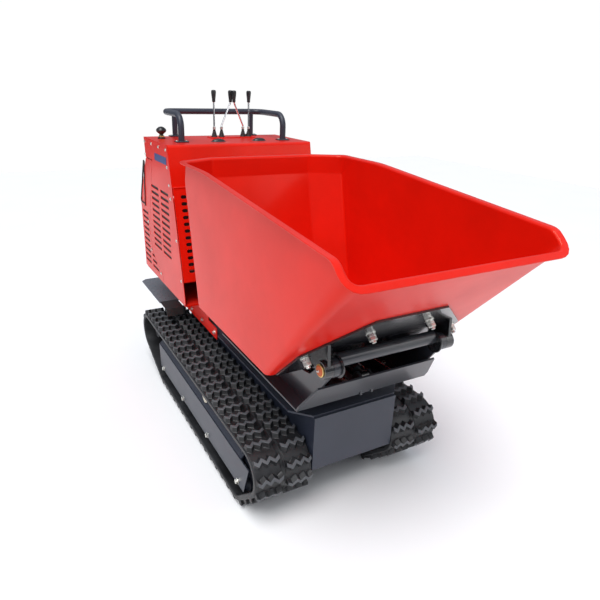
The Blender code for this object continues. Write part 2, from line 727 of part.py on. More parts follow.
def housing_panels(parts):
    """The cross panels of the housing: front and hood, grille, console."""
    front_low = (housing_front_y(LEDGE_Z + MESH_GAP), LEDGE_Z + MESH_GAP)
    front_high = (housing_front_y(HOUSING_TOP_Z - CROWN), HOUSING_TOP_Z - CROWN)
    line = [front_low, front_high, (HOUSING_FRONT_TOP_Y + CROWN, HOUSING_TOP_Z),
            (HOUSING_TOP_REAR_Y, HOUSING_TOP_Z)]
    across("hood", band(line, PANEL), parts)
    grille_high = LEDGE_Z
    grille = [(housing_front_y(GRILLE_BOTTOM_Z) - GRILLE_DEPTH, GRILLE_BOTTOM_Z),
              (housing_front_y(grille_high) - GRILLE_DEPTH, grille_high),
              (housing_front_y(grille_high), grille_high),
              (housing_front_y(GRILLE_BOTTOM_Z), GRILLE_BOTTOM_Z)]
    across("grille_panel", grille, parts)
    top = (HOUSING_TOP_REAR_Y, HOUSING_TOP_Z - PANEL - 5 * MESH_GAP)
    across("console", band([top, CONSOLE_TOP, CONSOLE_FOOT], PANEL), parts)


def door_hinge_matrix(z):
    """At a height on the door's hinge: local X across, local Y out of the door, local Z up the axis."""
    rise = Vector((0, housing_rear_y(1.0) - housing_rear_y(0.0), 1.0)).normalized()
    across_x = Vector((1, 0, 0))
    out = rise.cross(across_x)
    turn = Matrix((across_x, out, rise)).transposed().to_4x4()
    return Matrix.Translation((DOOR_HINGE_X, housing_rear_y(z), z)) @ turn


def rear_door(parts, cutters):
    """The service door across the rear of the housing, hinged at its left edge."""
    low = HOUSING_BOTTOM_Z + DOOR_FOOT_GAP
    high = CONSOLE_FOOT[1] - DOOR_TOP_GAP
    outline = [(housing_rear_y(low) - DOOR_THICKNESS, low), (housing_rear_y(low), low),
               (housing_rear_y(high), high), (housing_rear_y(high) - DOOR_THICKNESS, high)]
    obj = plate("rear_door", outline, 2 * (HOUSING_HALF_WIDTH - PANEL - DOOR_SEAM), SIDEWAYS, parts)
    offset = DOOR_HINGE_OFFSET
    strap = [(-0.055, -0.001), (-0.010, -0.001), (-0.006, 0.0025), (0.0, offset - KNUCKLE_RADIUS + 0.001),
             (0.0, offset), (-0.012, offset), (-0.022, 0.004), (-0.055, 0.003)]
    tools = []
    for k, z in enumerate(KNUCKLE_Z):
        place = door_hinge_matrix(z)
        tools.append(plate(f"strap_{k}", strap, KNUCKLE_LENGTH, place, parts))
        knuckle = turned(f"knuckle_{k}", [(0, KNUCKLE_LENGTH / 2), (KNUCKLE_RADIUS, KNUCKLE_LENGTH / 2),
                                          (KNUCKLE_RADIUS, -KNUCKLE_LENGTH / 2), (0, -KNUCKLE_LENGTH / 2)],
                         place @ Matrix.Translation((0, offset, 0)), parts, 16)
        tools.append(knuckle)
    join(obj, tools, cutters)
    paint(obj, "red")
    return obj


def housing_base(parts, cutters):
    """The floor of the housing and the skirts that bolt it to the chassis deck."""
    low = HOUSING_BOTTOM_Z - HOUSING_FLOOR
    front = housing_front_y(HOUSING_FRONT_FOOT_Z) + 0.004
    obj = block("housing_base", (-HOUSING_HALF_WIDTH + PANEL + MESH_GAP, front, low),
                (HOUSING_HALF_WIDTH - PANEL - MESH_GAP, HOUSING_REAR_FOOT_Y - 0.014, HOUSING_BOTTOM_Z), parts)
    outline = [(SKIRT_FRONT_Y, SKIRT_BOTTOM_Z), (SKIRT_REAR_Y, SKIRT_BOTTOM_Z), (SKIRT_REAR_Y, low + 0.003),
               (front + 0.002, low + 0.003), (front + 0.002, SKIRT_FRONT_Z), (SKIRT_FRONT_Y, SKIRT_FRONT_Z)]
    tools = []
    for k, x in enumerate((-SKIRT_X - 0.0025, SKIRT_X + 0.0025)):
        place = Matrix.Translation((x, 0, 0)) @ SIDEWAYS
        tools.append(plate(f"skirt_{k}", outline, 0.005 - MESH_GAP, place, parts))
    join(obj, tools, cutters)
    paint(obj, "red")
    return obj


def engine_block(parts, cutters):
    """The engine and pumps inside the housing, as one plain mass."""
    width, depth, height = ENGINE_SIZE
    low = HOUSING_BOTTOM_Z + 0.010
    obj = block("engine_block", (-width / 2, ENGINE_Y - depth / 2, low),
                (width / 2, ENGINE_Y + depth / 2, low + height), parts)
    foot = ENGINE_FOOT
    feet = [block(f"engine_foot_{k}", (x - foot / 2, ENGINE_Y - depth / 3, HOUSING_BOTTOM_Z + MESH_GAP),
                  (x + foot / 2, ENGINE_Y + depth / 3, low + 0.004), parts)
            for k, x in enumerate((foot - width / 2, width / 2 - foot))]
    join(obj, feet, cutters)
    paint(obj, "iron")
    return obj


def corner_arc(centre, start, end, steps=4):
    """Points on a quarter bend between two unit directions about a centre."""
    points = []
    for k in range(steps + 1):
        angle = math.pi / 2 * k / steps
        points.append(Vector(centre) + Vector(start) * math.cos(angle) + Vector(end) * math.sin(angle))
    return [tuple(p) for p in points]


def guard_rail(parts, cutters):
    """The bent tube over the hood, with two posts under its rear corners."""
    foot = HOUSING_TOP_Z + MESH_GAP
    bend = RAIL_CORNER
    side = []
    x = RAIL_HALF_WIDTH
    side.append((x, RAIL_FRONT_FOOT_Y, foot))
    side += corner_arc((x, RAIL_FRONT_FOOT_Y + bend, RAIL_TOP_Z - bend), (0, -bend, 0), (0, 0, bend))
    side += corner_arc((x - bend, RAIL_BACK_Y - bend, RAIL_TOP_Z), (bend, 0, 0), (0, bend, 0))
    route = side + [(-px, py, pz) for px, py, pz in reversed(side)]
    obj = tube("guard_rail", route, RAIL_TUBE_RADIUS, parts)
    posts = []
    for k, px in enumerate((-x + bend, x - bend)):
        posts.append(tube(f"rail_post_{k}", [(px, RAIL_BACK_Y, foot), (px, RAIL_BACK_Y, RAIL_TOP_Z)],
                          RAIL_TUBE_RADIUS * 0.9, parts))
    join(obj, posts, cutters)
    paint(obj, "blue_grey")
    return obj


def control_levers(parts, cutters):
    """Four hand levers on one mounting plate."""
    foot = HOUSING_TOP_Z + MESH_GAP
    obj = block("control_levers", (LEVER_X[0] - 0.03, LEVER_Y - 0.035, foot),
                (LEVER_X[-1] + 0.03, LEVER_Y + 0.035, foot + 0.006), parts)
    tools = []
    for k, (x, lean) in enumerate(zip(LEVER_X, LEVER_LEAN)):
        neck = (x + lean, LEVER_Y, LEVER_TOP_Z - GRIP_LENGTH)
        tools.append(cone_z(f"bellows_{k}", (x, LEVER_Y, foot + 0.003), 0.016, 0.010, 0.036, parts))
        bend = (x, LEVER_Y, foot + LEVER_BEND)
        tools.append(tube(f"rod_{k}", [(x, LEVER_Y, foot + 0.010), bend, neck], LEVER_RADIUS, parts, 2))
        tools.append(cone_z(f"grip_{k}", neck, 0.009, GRIP_RADIUS, GRIP_LENGTH, parts))
    join(obj, tools, cutters)
    paint(obj, "black_paint")
    return obj


def cone_z(name, foot, radius_low, radius_high, height, collection, sides=12):
    bm = bmesh.new()
    bmesh.ops.create_cone(bm, cap_ends=True, segments=sides, radius1=radius_low, radius2=radius_high,
                          depth=height)
    mesh = bpy.data.meshes.new(name)
    bm.to_mesh(mesh)
    bm.free()
    place = Matrix.Translation((foot[0], foot[1], foot[2] + height / 2))
    return mesh_object(name, mesh, collection, place)


# ---- swivel frame -------------------------------------------------------------------------
def boss_span(outer):
    """The x range of a hinge boss at +X: the inner one is on the swivel frame."""
    low = BOSS_INNER_X + (BOSS_LENGTH + BOSS_GAP if outer else 0.0)
    return low, low + BOSS_LENGTH


def swivel_frame(parts, cutters):
    """The turning tray, with its leaning front wall, side plates, hinge bosses and cross tube."""
    top = RING_TOP_Z + TRAY_THICKNESS
    place = Matrix.Translation((0, 0, RING_TOP_Z + TRAY_THICKNESS / 2))
    half = [(TRAY_HALF_WIDTH, TRAY_FRONT_Y), (TRAY_HALF_WIDTH, TRAY_REAR_Y - TRAY_CHAMFER),
            (TRAY_HALF_WIDTH - TRAY_CHAMFER, TRAY_REAR_Y)]
    obj = plate("swivel_frame", mirrored(half), TRAY_THICKNESS, place, parts)
    rise = Vector((TRAY_LIP_Y - TRAY_FRONT_Y, TRAY_LIP_Z - RING_TOP_Z))
    along = Vector((0, rise.x, rise.y)).normalized()
    outward = Vector((1, 0, 0)).cross(along)
    lean = Matrix((Vector((1, 0, 0)), along, outward)).transposed().to_4x4()
    foot = Vector((0, TRAY_FRONT_Y, RING_TOP_Z)) - outward * (TRAY_THICKNESS / 2)
    wall_half = [(TRAY_HALF_WIDTH, 0.0), (TRAY_HALF_WIDTH, 0.030), (TRAY_LIP_HALF_WIDTH, rise.length)]
    tools = [plate("front_wall", mirrored(wall_half), TRAY_THICKNESS, Matrix.Translation(foot) @ lean, parts)]
    ear = [(TRAY_REAR_Y - 0.10, top - 0.004), (TRAY_REAR_Y - 0.10, top + 0.080),
           (SKIP_FLOOR_FRONT_Y + 0.066, SKIP_FLOOR_Z - 0.035),
           (SKIP_FLOOR_FRONT_Y - 0.016, SKIP_FLOOR_Z - 0.019),
           (HINGE_Y + 0.046, HINGE_Z - 0.004), (HINGE_Y + 0.020, HINGE_Z + 0.010),
           (HINGE_Y - 0.015, HINGE_Z - 0.020), (TRAY_LIP_Y + 0.006, TRAY_LIP_Z + 0.008),
           (TRAY_LIP_Y + 0.008, TRAY_LIP_Z - 0.012), (TRAY_FRONT_Y + 0.002, top - 0.004)]
    for k, side in enumerate((-1, 1)):
        place = Matrix.Translation((side * EAR_X, 0, 0)) @ SIDEWAYS
        tools.append(plate(f"ear_{k}", ear, EAR_THICKNESS, place, parts))
    low, high = boss_span(outer=False)
    tools.append(cylinder_x("boss_a", low, high, HINGE_Y, HINGE_Z, BOSS_RADIUS, parts))
    tools.append(cylinder_x("boss_b", -high, -low, HINGE_Y, HINGE_Z, BOSS_RADIUS, parts))
    back, lift = CROSS_TUBE_OFFSET
    reach = low + CROSS_TUBE_LAP
    tools.append(cylinder_x("cross_tube", -reach, reach, HINGE_Y + back, HINGE_Z + lift, CROSS_TUBE_RADIUS,
                            parts))
    base_y, base_z = CYLINDER_BASE
    lug = [(base_y - 0.034, top - 0.004), (base_y + 0.034, top - 0.004), (base_y + 0.022, base_z + 0.014),
           (base_y, base_z + 0.026), (base_y - 0.022, base_z + 0.014)]
    lug_x = EYE_WIDTH / 2 + CLEVIS_GAP + CLEVIS_PLATE / 2
    for k, side in enumerate((-1, 1)):
        place = Matrix.Translation((side * lug_x, 0, 0)) @ SIDEWAYS
        tools.append(plate(f"base_lug_{k}", lug, CLEVIS_PLATE, place, parts))
    join(obj, tools, cutters)
    bore = PIN_RADIUS + PIN_CLEARANCE
    holes = []
    for k, side in enumerate((-1, 1)):
        ends = sorted((side * (reach - MESH_GAP), side * (high + CROSS_TUBE_RADIUS)))
        holes.append(cylinder_x(f"bore_{k}", *ends, HINGE_Y, HINGE_Z, bore, parts))
    cut(obj, holes, cutters)
    paint(obj, "blue_grey")
    return obj


# ---- skip ---------------------------------------------------------------------------------
def rear_line(corner):
    """The rear wall's outer face in (y, z), bottom to top, at its middle or at its side edge."""
    depth = SKIP_CORNER_DEPTH if corner else 0.0
    back = SKIP_BACK_Y - depth
    foot = back - SKIP_BACK_SLOPE * (SKIP_BAND_Z - SKIP_FLOOR_Z)
    return [(foot, SKIP_FLOOR_Z), (back, SKIP_BAND_Z), (back, SKIP_RIM_Z)]


def skip_side(side, parts, cutters):
    tag = "left" if side > 0 else "right"
    rear = rear_line(corner=True)
    lip = Vector((SKIP_LIP_Y, SKIP_LIP_Z))
    outline = [(SKIP_FLOOR_FRONT_Y, SKIP_FLOOR_Z), *rear, (SKIP_RIM_BEND_Y, SKIP_RIM_Z),
               (SKIP_SIDE_TOP_Y, SKIP_SIDE_TOP_Z), tuple(lip)]
    x = SKIP_HALF_WIDTH - SKIP_SHEET / 2
    place = Matrix.Translation((side * x, 0, 0)) @ SIDEWAYS
    obj = plate(f"skip_side_{tag}", outline, SKIP_SHEET, place, parts)
    front_end = lip + (Vector((SKIP_SIDE_TOP_Y, SKIP_SIDE_TOP_Z)) - lip) * 0.05
    rim = band([tuple(front_end), (SKIP_SIDE_TOP_Y, SKIP_SIDE_TOP_Z), (SKIP_RIM_BEND_Y, SKIP_RIM_Z), rear[-1]],
               SKIP_SHEET)
    flange_x = SKIP_HALF_WIDTH + FLANGE_WIDTH / 2 - 0.002
    place = Matrix.Translation((side * flange_x, 0, 0)) @ SIDEWAYS
    join(obj, [plate(f"side_flange_{tag}", rim, FLANGE_WIDTH + 0.004, place, parts)], cutters)
    paint(obj, "red")
    return obj


def skip_front(parts, cutters):
    """The sloping front panel with the lip turned out along its top."""
    up = PANEL_UP
    inward = Vector((-up.y, up.x)) * -1
    foot = Vector((SKIP_FLOOR_FRONT_Y, SKIP_FLOOR_Z + SKIP_SHEET))
    base = SKIP_FLOOR_Z + SKIP_SHEET + MESH_GAP
    lip = Vector((SKIP_LIP_Y, SKIP_LIP_Z))
    out = -inward
    outer_foot = foot + up * ((base - foot.y) / up.y)
    inner_foot = outer_foot + Vector((SKIP_SHEET / up.y, 0))
    inner_lip = lip + inward * SKIP_SHEET
    edge = lip + out * FLANGE_WIDTH
    outline = [tuple(outer_foot), tuple(inner_foot), tuple(inner_lip), tuple(edge),
               tuple(edge - up * SKIP_SHEET), tuple(lip - up * SKIP_SHEET)]
    width = 2 * (SKIP_HALF_WIDTH - SKIP_SHEET - MESH_GAP)
    obj = plate("skip_front", outline, width, SIDEWAYS, parts)
    paint(obj, "red")
    return obj


def skip_floor(parts):
    width = SKIP_HALF_WIDTH - SKIP_SHEET - MESH_GAP
    corner = rear_line(corner=True)[0][0]
    back = rear_line(corner=False)[0][0]
    half = [(width, SKIP_FLOOR_FRONT_Y), (width, corner), (SKIP_BACK_HALF_WIDTH, back)]
    place = Matrix.Translation((0, 0, SKIP_FLOOR_Z + SKIP_SHEET / 2))
    obj = plate("skip_floor", mirrored(half), SKIP_SHEET, place, parts)
    paint(obj, "red")
    return obj


def skip_rear(parts, cutters):
    """The folded rear wall: a middle face, two corner faces and the upright band with its rim."""
    width = SKIP_HALF_WIDTH - SKIP_SHEET - MESH_GAP
    side = rear_line(corner=True)
    middle = rear_line(corner=False)
    base = SKIP_FLOOR_Z + SKIP_SHEET + MESH_GAP
    lift = (base - SKIP_FLOOR_Z) * SKIP_BACK_SLOPE
    points = []
    for k in range(3):
        z = base if k == 0 else side[k][1]
        shift = lift if k == 0 else 0.0
        row = [(-width, side[k][0]), (-SKIP_BACK_HALF_WIDTH, middle[k][0]),
               (SKIP_BACK_HALF_WIDTH, middle[k][0]), (width, side[k][0])]
        points += [(x, y + shift, z) for x, y in row]
    faces = [(4 * k + j, 4 * k + j + 1, 4 * k + j + 5, 4 * k + j + 4) for k in range(2) for j in range(3)]
    mesh = bpy.data.meshes.new("skip_rear")
    mesh.from_pydata(points, [], faces)
    obj = mesh_object("skip_rear", mesh, parts)
    solid = obj.modifiers.new("sheet", "SOLIDIFY")
    solid.thickness = SKIP_SHEET
    solid.offset = 1.0
    solid.use_even_offset = True
    apply_modifiers(obj)
    bm = bmesh.new()
    bm.from_mesh(obj.data)
    bmesh.ops.recalc_face_normals(bm, faces=bm.faces)
    bm.to_mesh(obj.data)
    bm.free()
    inner = [(width, side[2][0] - 0.003), (SKIP_BACK_HALF_WIDTH, middle[2][0] - 0.003)]
    outer = [(SKIP_BACK_HALF_WIDTH + 0.030, middle[2][0] + FLANGE_WIDTH), (width, side[2][0] + 0.034)]
    ring = inner + [(-x, y) for x, y in reversed(inner)] + [(-x, y) for x, y in reversed(outer)] + outer
    place = Matrix.Translation((0, 0, SKIP_RIM_Z - SKIP_SHEET / 2))
    join(obj, [plate("rear_flange", ring, SKIP_SHEET, place, parts)], cutters)
    paint(obj, "red")
    return obj


def tilt_frame(parts, cutters):
    """The plate bolted under the skip, with its hinge bosses, rails and the cylinder's bracket."""
    up = Vector((0, PANEL_UP.x, PANEL_UP.y))
    outward = Vector((1, 0, 0)).cross(up)
    lean = Matrix((Vector((1, 0, 0)), up, outward)).transposed().to_4x4()
    out_sign = 1.0 if outward.y < 0 else -1.0
    foot = Vector((0, SKIP_FLOOR_FRONT_Y, SKIP_FLOOR_Z + SKIP_SHEET))
    centre = foot + outward * out_sign * (TILT_PLATE / 2 + MESH_GAP)
    half = [TILT_FOOT, TILT_SIDE, TILT_TOP]
    obj = plate("tilt_frame", mirrored(half), TILT_PLATE, Matrix.Translation(centre) @ lean, parts)
    tools = []
    low, high = boss_span(outer=True)
    root = foot + up * 0.075 + outward * out_sign * (TILT_PLATE / 2 + MESH_GAP)
    crest = foot + up * 0.230 + outward * out_sign * (TILT_PLATE / 2 + MESH_GAP)
    ear = [(root.y, root.z), (HINGE_Y + 0.020, HINGE_Z - 0.018), (HINGE_Y - 0.026, HINGE_Z + 0.006),
           (crest.y, crest.z)]
    for k, side in enumerate((-1, 1)):
        middle = side * (low + high) / 2
        place = Matrix.Translation((middle, 0, 0)) @ SIDEWAYS
        tools.append(plate(f"tilt_ear_{k}", ear, 0.012, place, parts))
        ends = (middle - BOSS_LENGTH / 2, middle + BOSS_LENGTH / 2)
        tools.append(cylinder_x(f"tilt_boss_{k}", *ends, HINGE_Y, HINGE_Z, BOSS_RADIUS, parts))
    top = SKIP_FLOOR_Z - MESH_GAP
    for k, x in enumerate((-RAIL_X, RAIL_X)):
        rail_low = (x - RAIL_WIDTH / 2, SKIP_FLOOR_FRONT_Y - 0.006, top - RAIL_DEPTH)
        tools.append(block(f"floor_rail_{k}", rail_low, (x + RAIL_WIDTH / 2, RAIL_REAR_Y, top), parts))
    eye_y, eye_z = CYLINDER_EYE
    tools.append(block("rail_tie", (-RAIL_X - RAIL_WIDTH / 2, eye_y - 0.035, top - 0.006),
                       (RAIL_X + RAIL_WIDTH / 2, eye_y + 0.035, top), parts))
    tools.append(block("front_tie", (-TIE_HALF_WIDTH, SKIP_FLOOR_FRONT_Y - 0.019, top - 0.010),
                       (TIE_HALF_WIDTH, SKIP_FLOOR_FRONT_Y + 0.030, top), parts))
    tools.append(block("front_tie_edge", (-TIE_HALF_WIDTH, SKIP_FLOOR_FRONT_Y - 0.019, top - 0.010),
                       (TIE_HALF_WIDTH, SKIP_FLOOR_FRONT_Y - MESH_GAP, SKIP_FLOOR_Z + SKIP_SHEET), parts))
    bracket = [(eye_y - 0.030, top - 0.003), (eye_y - 0.018, eye_z - 0.016), (eye_y + 0.018, eye_z - 0.016),
               (eye_y + 0.030, top - 0.003)]
    lug_x = EYE_WIDTH / 2 + CLEVIS_GAP + CLEVIS_PLATE / 2
    for k, side in enumerate((-1, 1)):
        place = Matrix.Translation((side * lug_x, 0, 0)) @ SIDEWAYS
        tools.append(plate(f"rod_lug_{k}", bracket, CLEVIS_PLATE, place, parts))
    join(obj, tools, cutters)
    bore = PIN_RADIUS + MESH_GAP * 2
    holes = []
    for k, side in enumerate((-1, 1)):
        middle = side * (low + high) / 2
        ends = (middle - BOSS_LENGTH, middle + BOSS_LENGTH)
        holes.append(cylinder_x(f"tilt_bore_{k}", *ends, HINGE_Y, HINGE_Z, bore, parts))
    cut(obj, holes, cutters)
    paint(obj, "black_paint")
    return obj


def hinge_pin(side, parts):
    name = "hinge_pin_left" if side > 0 else "hinge_pin_right"
    inner, _ = boss_span(outer=False)
    _, outer = boss_span(outer=True)
    head = outer + MESH_GAP
    profile = [(0, head + 0.008), (0.019, head + 0.008), (0.019, head), (PIN_RADIUS, head),
               (PIN_RADIUS, inner + 0.004), (0, inner + 0.004)]
    place = Matrix.Translation((0, HINGE_Y, HINGE_Z)) @ SIDEWAYS
    obj = turned(name, profile, place, parts)
    if side < 0:
        obj.data.transform(Matrix.Diagonal((-1, 1, 1, 1)))
        obj.data.flip_normals()
    paint(obj, "steel")
    return obj


# ---- tipping cylinder ---------------------------------------------------------------------
def cylinder_place():
    """The cylinder's frame: its local Z runs from the base pin to the rod's eye."""
    base = Vector((0, *CYLINDER_BASE))
    along = (Vector((0, *CYLINDER_EYE)) - base).normalized()
    across_x = Vector((1, 0, 0))
    third = along.cross(across_x)
    turn = Matrix((across_x, third, along)).transposed().to_4x4()
    return Matrix.Translation(base) @ turn


def cylinder_length():
    return (Vector(CYLINDER_EYE) - Vector(CYLINDER_BASE)).length


def tip_barrel(parts, cutters):
    bore = ROD_RADIUS + ROD_CLEARANCE
    profile = [(bore, BARREL_END), (BARREL_RADIUS - 0.004, BARREL_END), (BARREL_RADIUS, BARREL_END - 0.004),
               (BARREL_RADIUS, BARREL_START), (BARREL_NECK_RADIUS, BARREL_START), (BARREL_NECK_RADIUS, 0.010),
               (0, 0.010), (0, ROD_INNER_END - 0.006),
               (bore, ROD_INNER_END - 0.006), (bore, BARREL_END)]
    obj = turned("tip_cylinder_barrel", profile, cylinder_place(), parts)
    bm = bmesh.new()
    bm.from_mesh(obj.data)
    bmesh.ops.remove_doubles(bm, verts=bm.verts, dist=0.00001)
    bmesh.ops.recalc_face_normals(bm, faces=bm.faces)
    bm.to_mesh(obj.data)
    bm.free()
    eye = cylinder_x("base_eye", -EYE_WIDTH / 2, EYE_WIDTH / 2, *CYLINDER_BASE, EYE_RADIUS, parts)
    join(obj, [eye], cutters)
    paint(obj, "black_paint")
    return obj


def tip_rod(parts, cutters):
    length = cylinder_length()
    profile = [(0, length), (ROD_RADIUS, length), (ROD_RADIUS, ROD_INNER_END), (0, ROD_INNER_END)]
    obj = turned("tip_cylinder_rod", profile, cylinder_place(), parts)
    eye = cylinder_x("rod_eye", -EYE_WIDTH / 2, EYE_WIDTH / 2, *CYLINDER_EYE, EYE_RADIUS, parts)
    join(obj, [eye], cutters)
    paint(obj, "chrome")
    return obj


# ---- assembly -----------------------------------------------------------------------------
def build():
    clear_scene()
    parts = new_collection("tracked_swivel_dumper")
    cutters = new_collection("cutters")
    cutters.hide_render = True
    for side in (1, -1):
        track("track_left" if side > 0 else "track_right", side, parts)
        track_frame(side, parts, cutters)
        track_guard(side, parts)
        idler(side, parts)
        sprocket(side, parts, cutters)
        mud_flap(side, parts)
        side_panels(side, parts)
        skip_side(side, parts, cutters)
        hinge_pin(side, parts)
    chassis_frame(parts, cutters)
    deck_plate(parts)
    middle = DECK_TOP_Z + (RING_TOP_Z - DECK_TOP_Z) / 2
    slew_ring("slew_ring_lower", DECK_TOP_Z + MESH_GAP, middle, parts)
    slew_ring("slew_ring_upper", middle + RING_GAP, RING_TOP_Z - MESH_GAP, parts)
    platform(parts, cutters)
    housing_panels(parts)
    rear_door(parts, cutters)
    housing_base(parts, cutters)
    engine_block(parts, cutters)
    guard_rail(parts, cutters)
    control_levers(parts, cutters)
    swivel_frame(parts, cutters)
    skip_front(parts, cutters)
    skip_floor(parts)
    skip_rear(parts, cutters)
    tilt_frame(parts, cutters)
    tip_barrel(parts, cutters)
    tip_rod(parts, cutters)
    for obj in parts.objects:
        obj.data.shade_smooth()
        obj.data.set_sharp_from_angle(angle=math.radians(30))


build()
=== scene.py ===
"""Looks of the tracked swivel dumper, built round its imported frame, in metres with +Z up."""

import json
import math

import bmesh
import bpy
from bpy.props import FloatProperty, IntProperty, PointerProperty
from mathutils import Matrix, Vector


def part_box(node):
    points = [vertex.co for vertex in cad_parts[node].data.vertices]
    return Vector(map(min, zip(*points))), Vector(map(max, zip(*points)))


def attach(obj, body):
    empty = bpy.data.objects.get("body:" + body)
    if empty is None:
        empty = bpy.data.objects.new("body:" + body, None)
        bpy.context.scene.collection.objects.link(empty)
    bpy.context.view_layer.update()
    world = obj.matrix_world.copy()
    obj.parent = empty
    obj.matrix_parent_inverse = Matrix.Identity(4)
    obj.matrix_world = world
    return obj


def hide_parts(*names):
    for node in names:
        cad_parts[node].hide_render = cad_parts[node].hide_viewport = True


bl_info = {
    "name": "Tracked swivel dumper",
    "version": (1, 0, 0),
    "blender": (4, 5, 0),
    "location": "View3D > Sidebar > Dumper",
    "description": "Builds the visible pieces and the stage of a tracked swivel dumper",
    "category": "Object",
}

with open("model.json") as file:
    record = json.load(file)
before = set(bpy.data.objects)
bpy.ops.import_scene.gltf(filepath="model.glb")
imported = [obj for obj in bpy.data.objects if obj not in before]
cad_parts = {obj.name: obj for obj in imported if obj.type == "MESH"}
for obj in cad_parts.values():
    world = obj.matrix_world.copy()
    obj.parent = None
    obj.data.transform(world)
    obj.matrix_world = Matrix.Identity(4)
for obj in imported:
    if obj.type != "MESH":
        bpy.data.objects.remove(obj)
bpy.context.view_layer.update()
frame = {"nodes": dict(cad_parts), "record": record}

SIDEWAYS = Matrix(((0, 0, 1), (1, 0, 0), (0, 1, 0))).to_4x4()   # outline (y, z), thickness along X
SKIN = 0.0006                # how far a detail stands off the face it lies on
HINGE = (-0.868, 0.793)      # the tipping axis (y, z)
PANEL_FOOT = Vector((0, -0.726, 0.730))         # foot of the skip's front panel
PANEL_UP = Vector((0, -0.6786, 0.7345))         # direction up that panel
PANEL_OUT = Vector((0, -0.7345, -0.6786))       # direction off its outer face


# ---- node trees ---------------------------------------------------------------------------
def add(tree, kind, inputs=None, **settings):
    """Adds a node, with its settings, and links or fills its inputs."""
    node = tree.nodes.new(kind)
    for key, value in settings.items():
        setattr(node, key, value)
    for key, value in (inputs or {}).items():
        if isinstance(value, bpy.types.NodeSocket):
            tree.links.new(value, node.inputs[key])
        else:
            node.inputs[key].default_value = value
    return node


def group_tree(name, kind, inputs, outputs):
    """A node group with named sockets: (name, socket type, default or None)."""
    tree = bpy.data.node_groups.new(name, kind)
    for label, socket, default in inputs:
        made = tree.interface.new_socket(label, in_out="INPUT", socket_type=socket)
        if default is not None:
            made.default_value = default
    for label, socket in outputs:
        tree.interface.new_socket(label, in_out="OUTPUT", socket_type=socket)
    return tree, tree.nodes.new("NodeGroupInput").outputs, tree.nodes.new("NodeGroupOutput").inputs


def math_node(tree, operation, first, second, clamp=False):
    return add(tree, "ShaderNodeMath", {0: first, 1: second}, operation=operation, use_clamp=clamp).outputs[0]


def ramp(tree, value, low, high, to_low=0.0, to_high=1.0):
    inputs = {"Value": value, "From Min": low, "From Max": high, "To Min": to_low, "To Max": to_high}
    return add(tree, "ShaderNodeMapRange", inputs, clamp=True).outputs[0]


def noise(tree, where, scale, detail=3.0, roughness=0.55):
    inputs = {"Vector": where, "Scale": scale, "Detail": detail, "Roughness": roughness}
    return add(tree, "ShaderNodeTexNoise", inputs).outputs["Fac"]


def mix_colour(tree, factor, first, second, blend="MIX"):
    inputs = {0: factor, 6: first, 7: second}
    return add(tree, "ShaderNodeMix", inputs, data_type="RGBA", blend_type=blend).outputs[2]


def rounded_edges(tree, radius):
    """The normal with its edges rounded, and a mask of those edges."""
    bevel = add(tree, "ShaderNodeBevel", {"Radius": radius}, samples=4).outputs[0]
    flat = add(tree, "ShaderNodeNewGeometry").outputs["Normal"]
    dot = add(tree, "ShaderNodeVectorMath", {0: bevel, 1: flat}, operation="DOT_PRODUCT").outputs["Value"]
    return bevel, ramp(tree, dot, 0.995, 0.88)


def paint_effects():
    """Sprayed paint: soft tone changes, orange peel, rubbed edges and settled dust."""
    tree, given, out = group_tree("dumper_paint_effects", "ShaderNodeTree", [
        ("Colour", "NodeSocketColor", (0.5, 0.5, 0.5, 1)), ("Worn Colour", "NodeSocketColor", (0.5, 0.5, 0.5, 1)),
        ("Dust Colour", "NodeSocketColor", (0.5, 0.45, 0.4, 1)), ("Roughness", "NodeSocketFloat", 0.3),
        ("Edge Wear", "NodeSocketFloat", 0.3), ("Dust", "NodeSocketFloat", 0.2), ("Peel", "NodeSocketFloat", 0.1),
        ("Edge Radius", "NodeSocketFloat", 0.0015)],
        [("Colour", "NodeSocketColor"), ("Roughness", "NodeSocketFloat"), ("Normal", "NodeSocketVector")])
    where = add(tree, "ShaderNodeTexCoord").outputs["Object"]
    broad = noise(tree, where, 3.0, 4.0)
    fine = noise(tree, where, 60.0, 5.0, 0.7)
    bevel, edge = rounded_edges(tree, given["Edge Radius"])
    tone = mix_colour(tree, ramp(tree, broad, 0.3, 0.7, 0.0, 0.16), given["Colour"], (0, 0, 0, 1))
    chips = math_node(tree, "MULTIPLY", edge, ramp(tree, fine, 0.50, 0.66))
    worn = math_node(tree, "MULTIPLY", chips, given["Edge Wear"], True)
    painted = mix_colour(tree, worn, tone, given["Worn Colour"])
    up = add(tree, "ShaderNodeSeparateXYZ", {0: bevel}).outputs[2]
    patchy = math_node(tree, "MULTIPLY", ramp(tree, up, 0.2, 0.95), ramp(tree, fine, 0.30, 0.75, 0.25, 1.0))
    dust = math_node(tree, "MULTIPLY", patchy, given["Dust"], True)
    tree.links.new(mix_colour(tree, dust, painted, given["Dust Colour"]), out["Colour"])
    rough = math_node(tree, "ADD", given["Roughness"], ramp(tree, broad, 0.2, 0.8, -0.03, 0.05))
    dusty = math_node(tree, "ADD", rough, math_node(tree, "MULTIPLY", dust, 0.45), True)
    tree.links.new(dusty, out["Roughness"])
    peel = noise(tree, where, 420.0, 2.0)
    ripple = noise(tree, where, 28.0, 2.0)
    height = math_node(tree, "ADD", peel, math_node(tree, "MULTIPLY", ripple, 1.6))
    bump = add(tree, "ShaderNodeBump", {"Strength": given["Peel"], "Distance": 0.0006, "Height": height,
                                        "Normal": bevel})
    tree.links.new(bump.outputs[0], out["Normal"])
    return tree


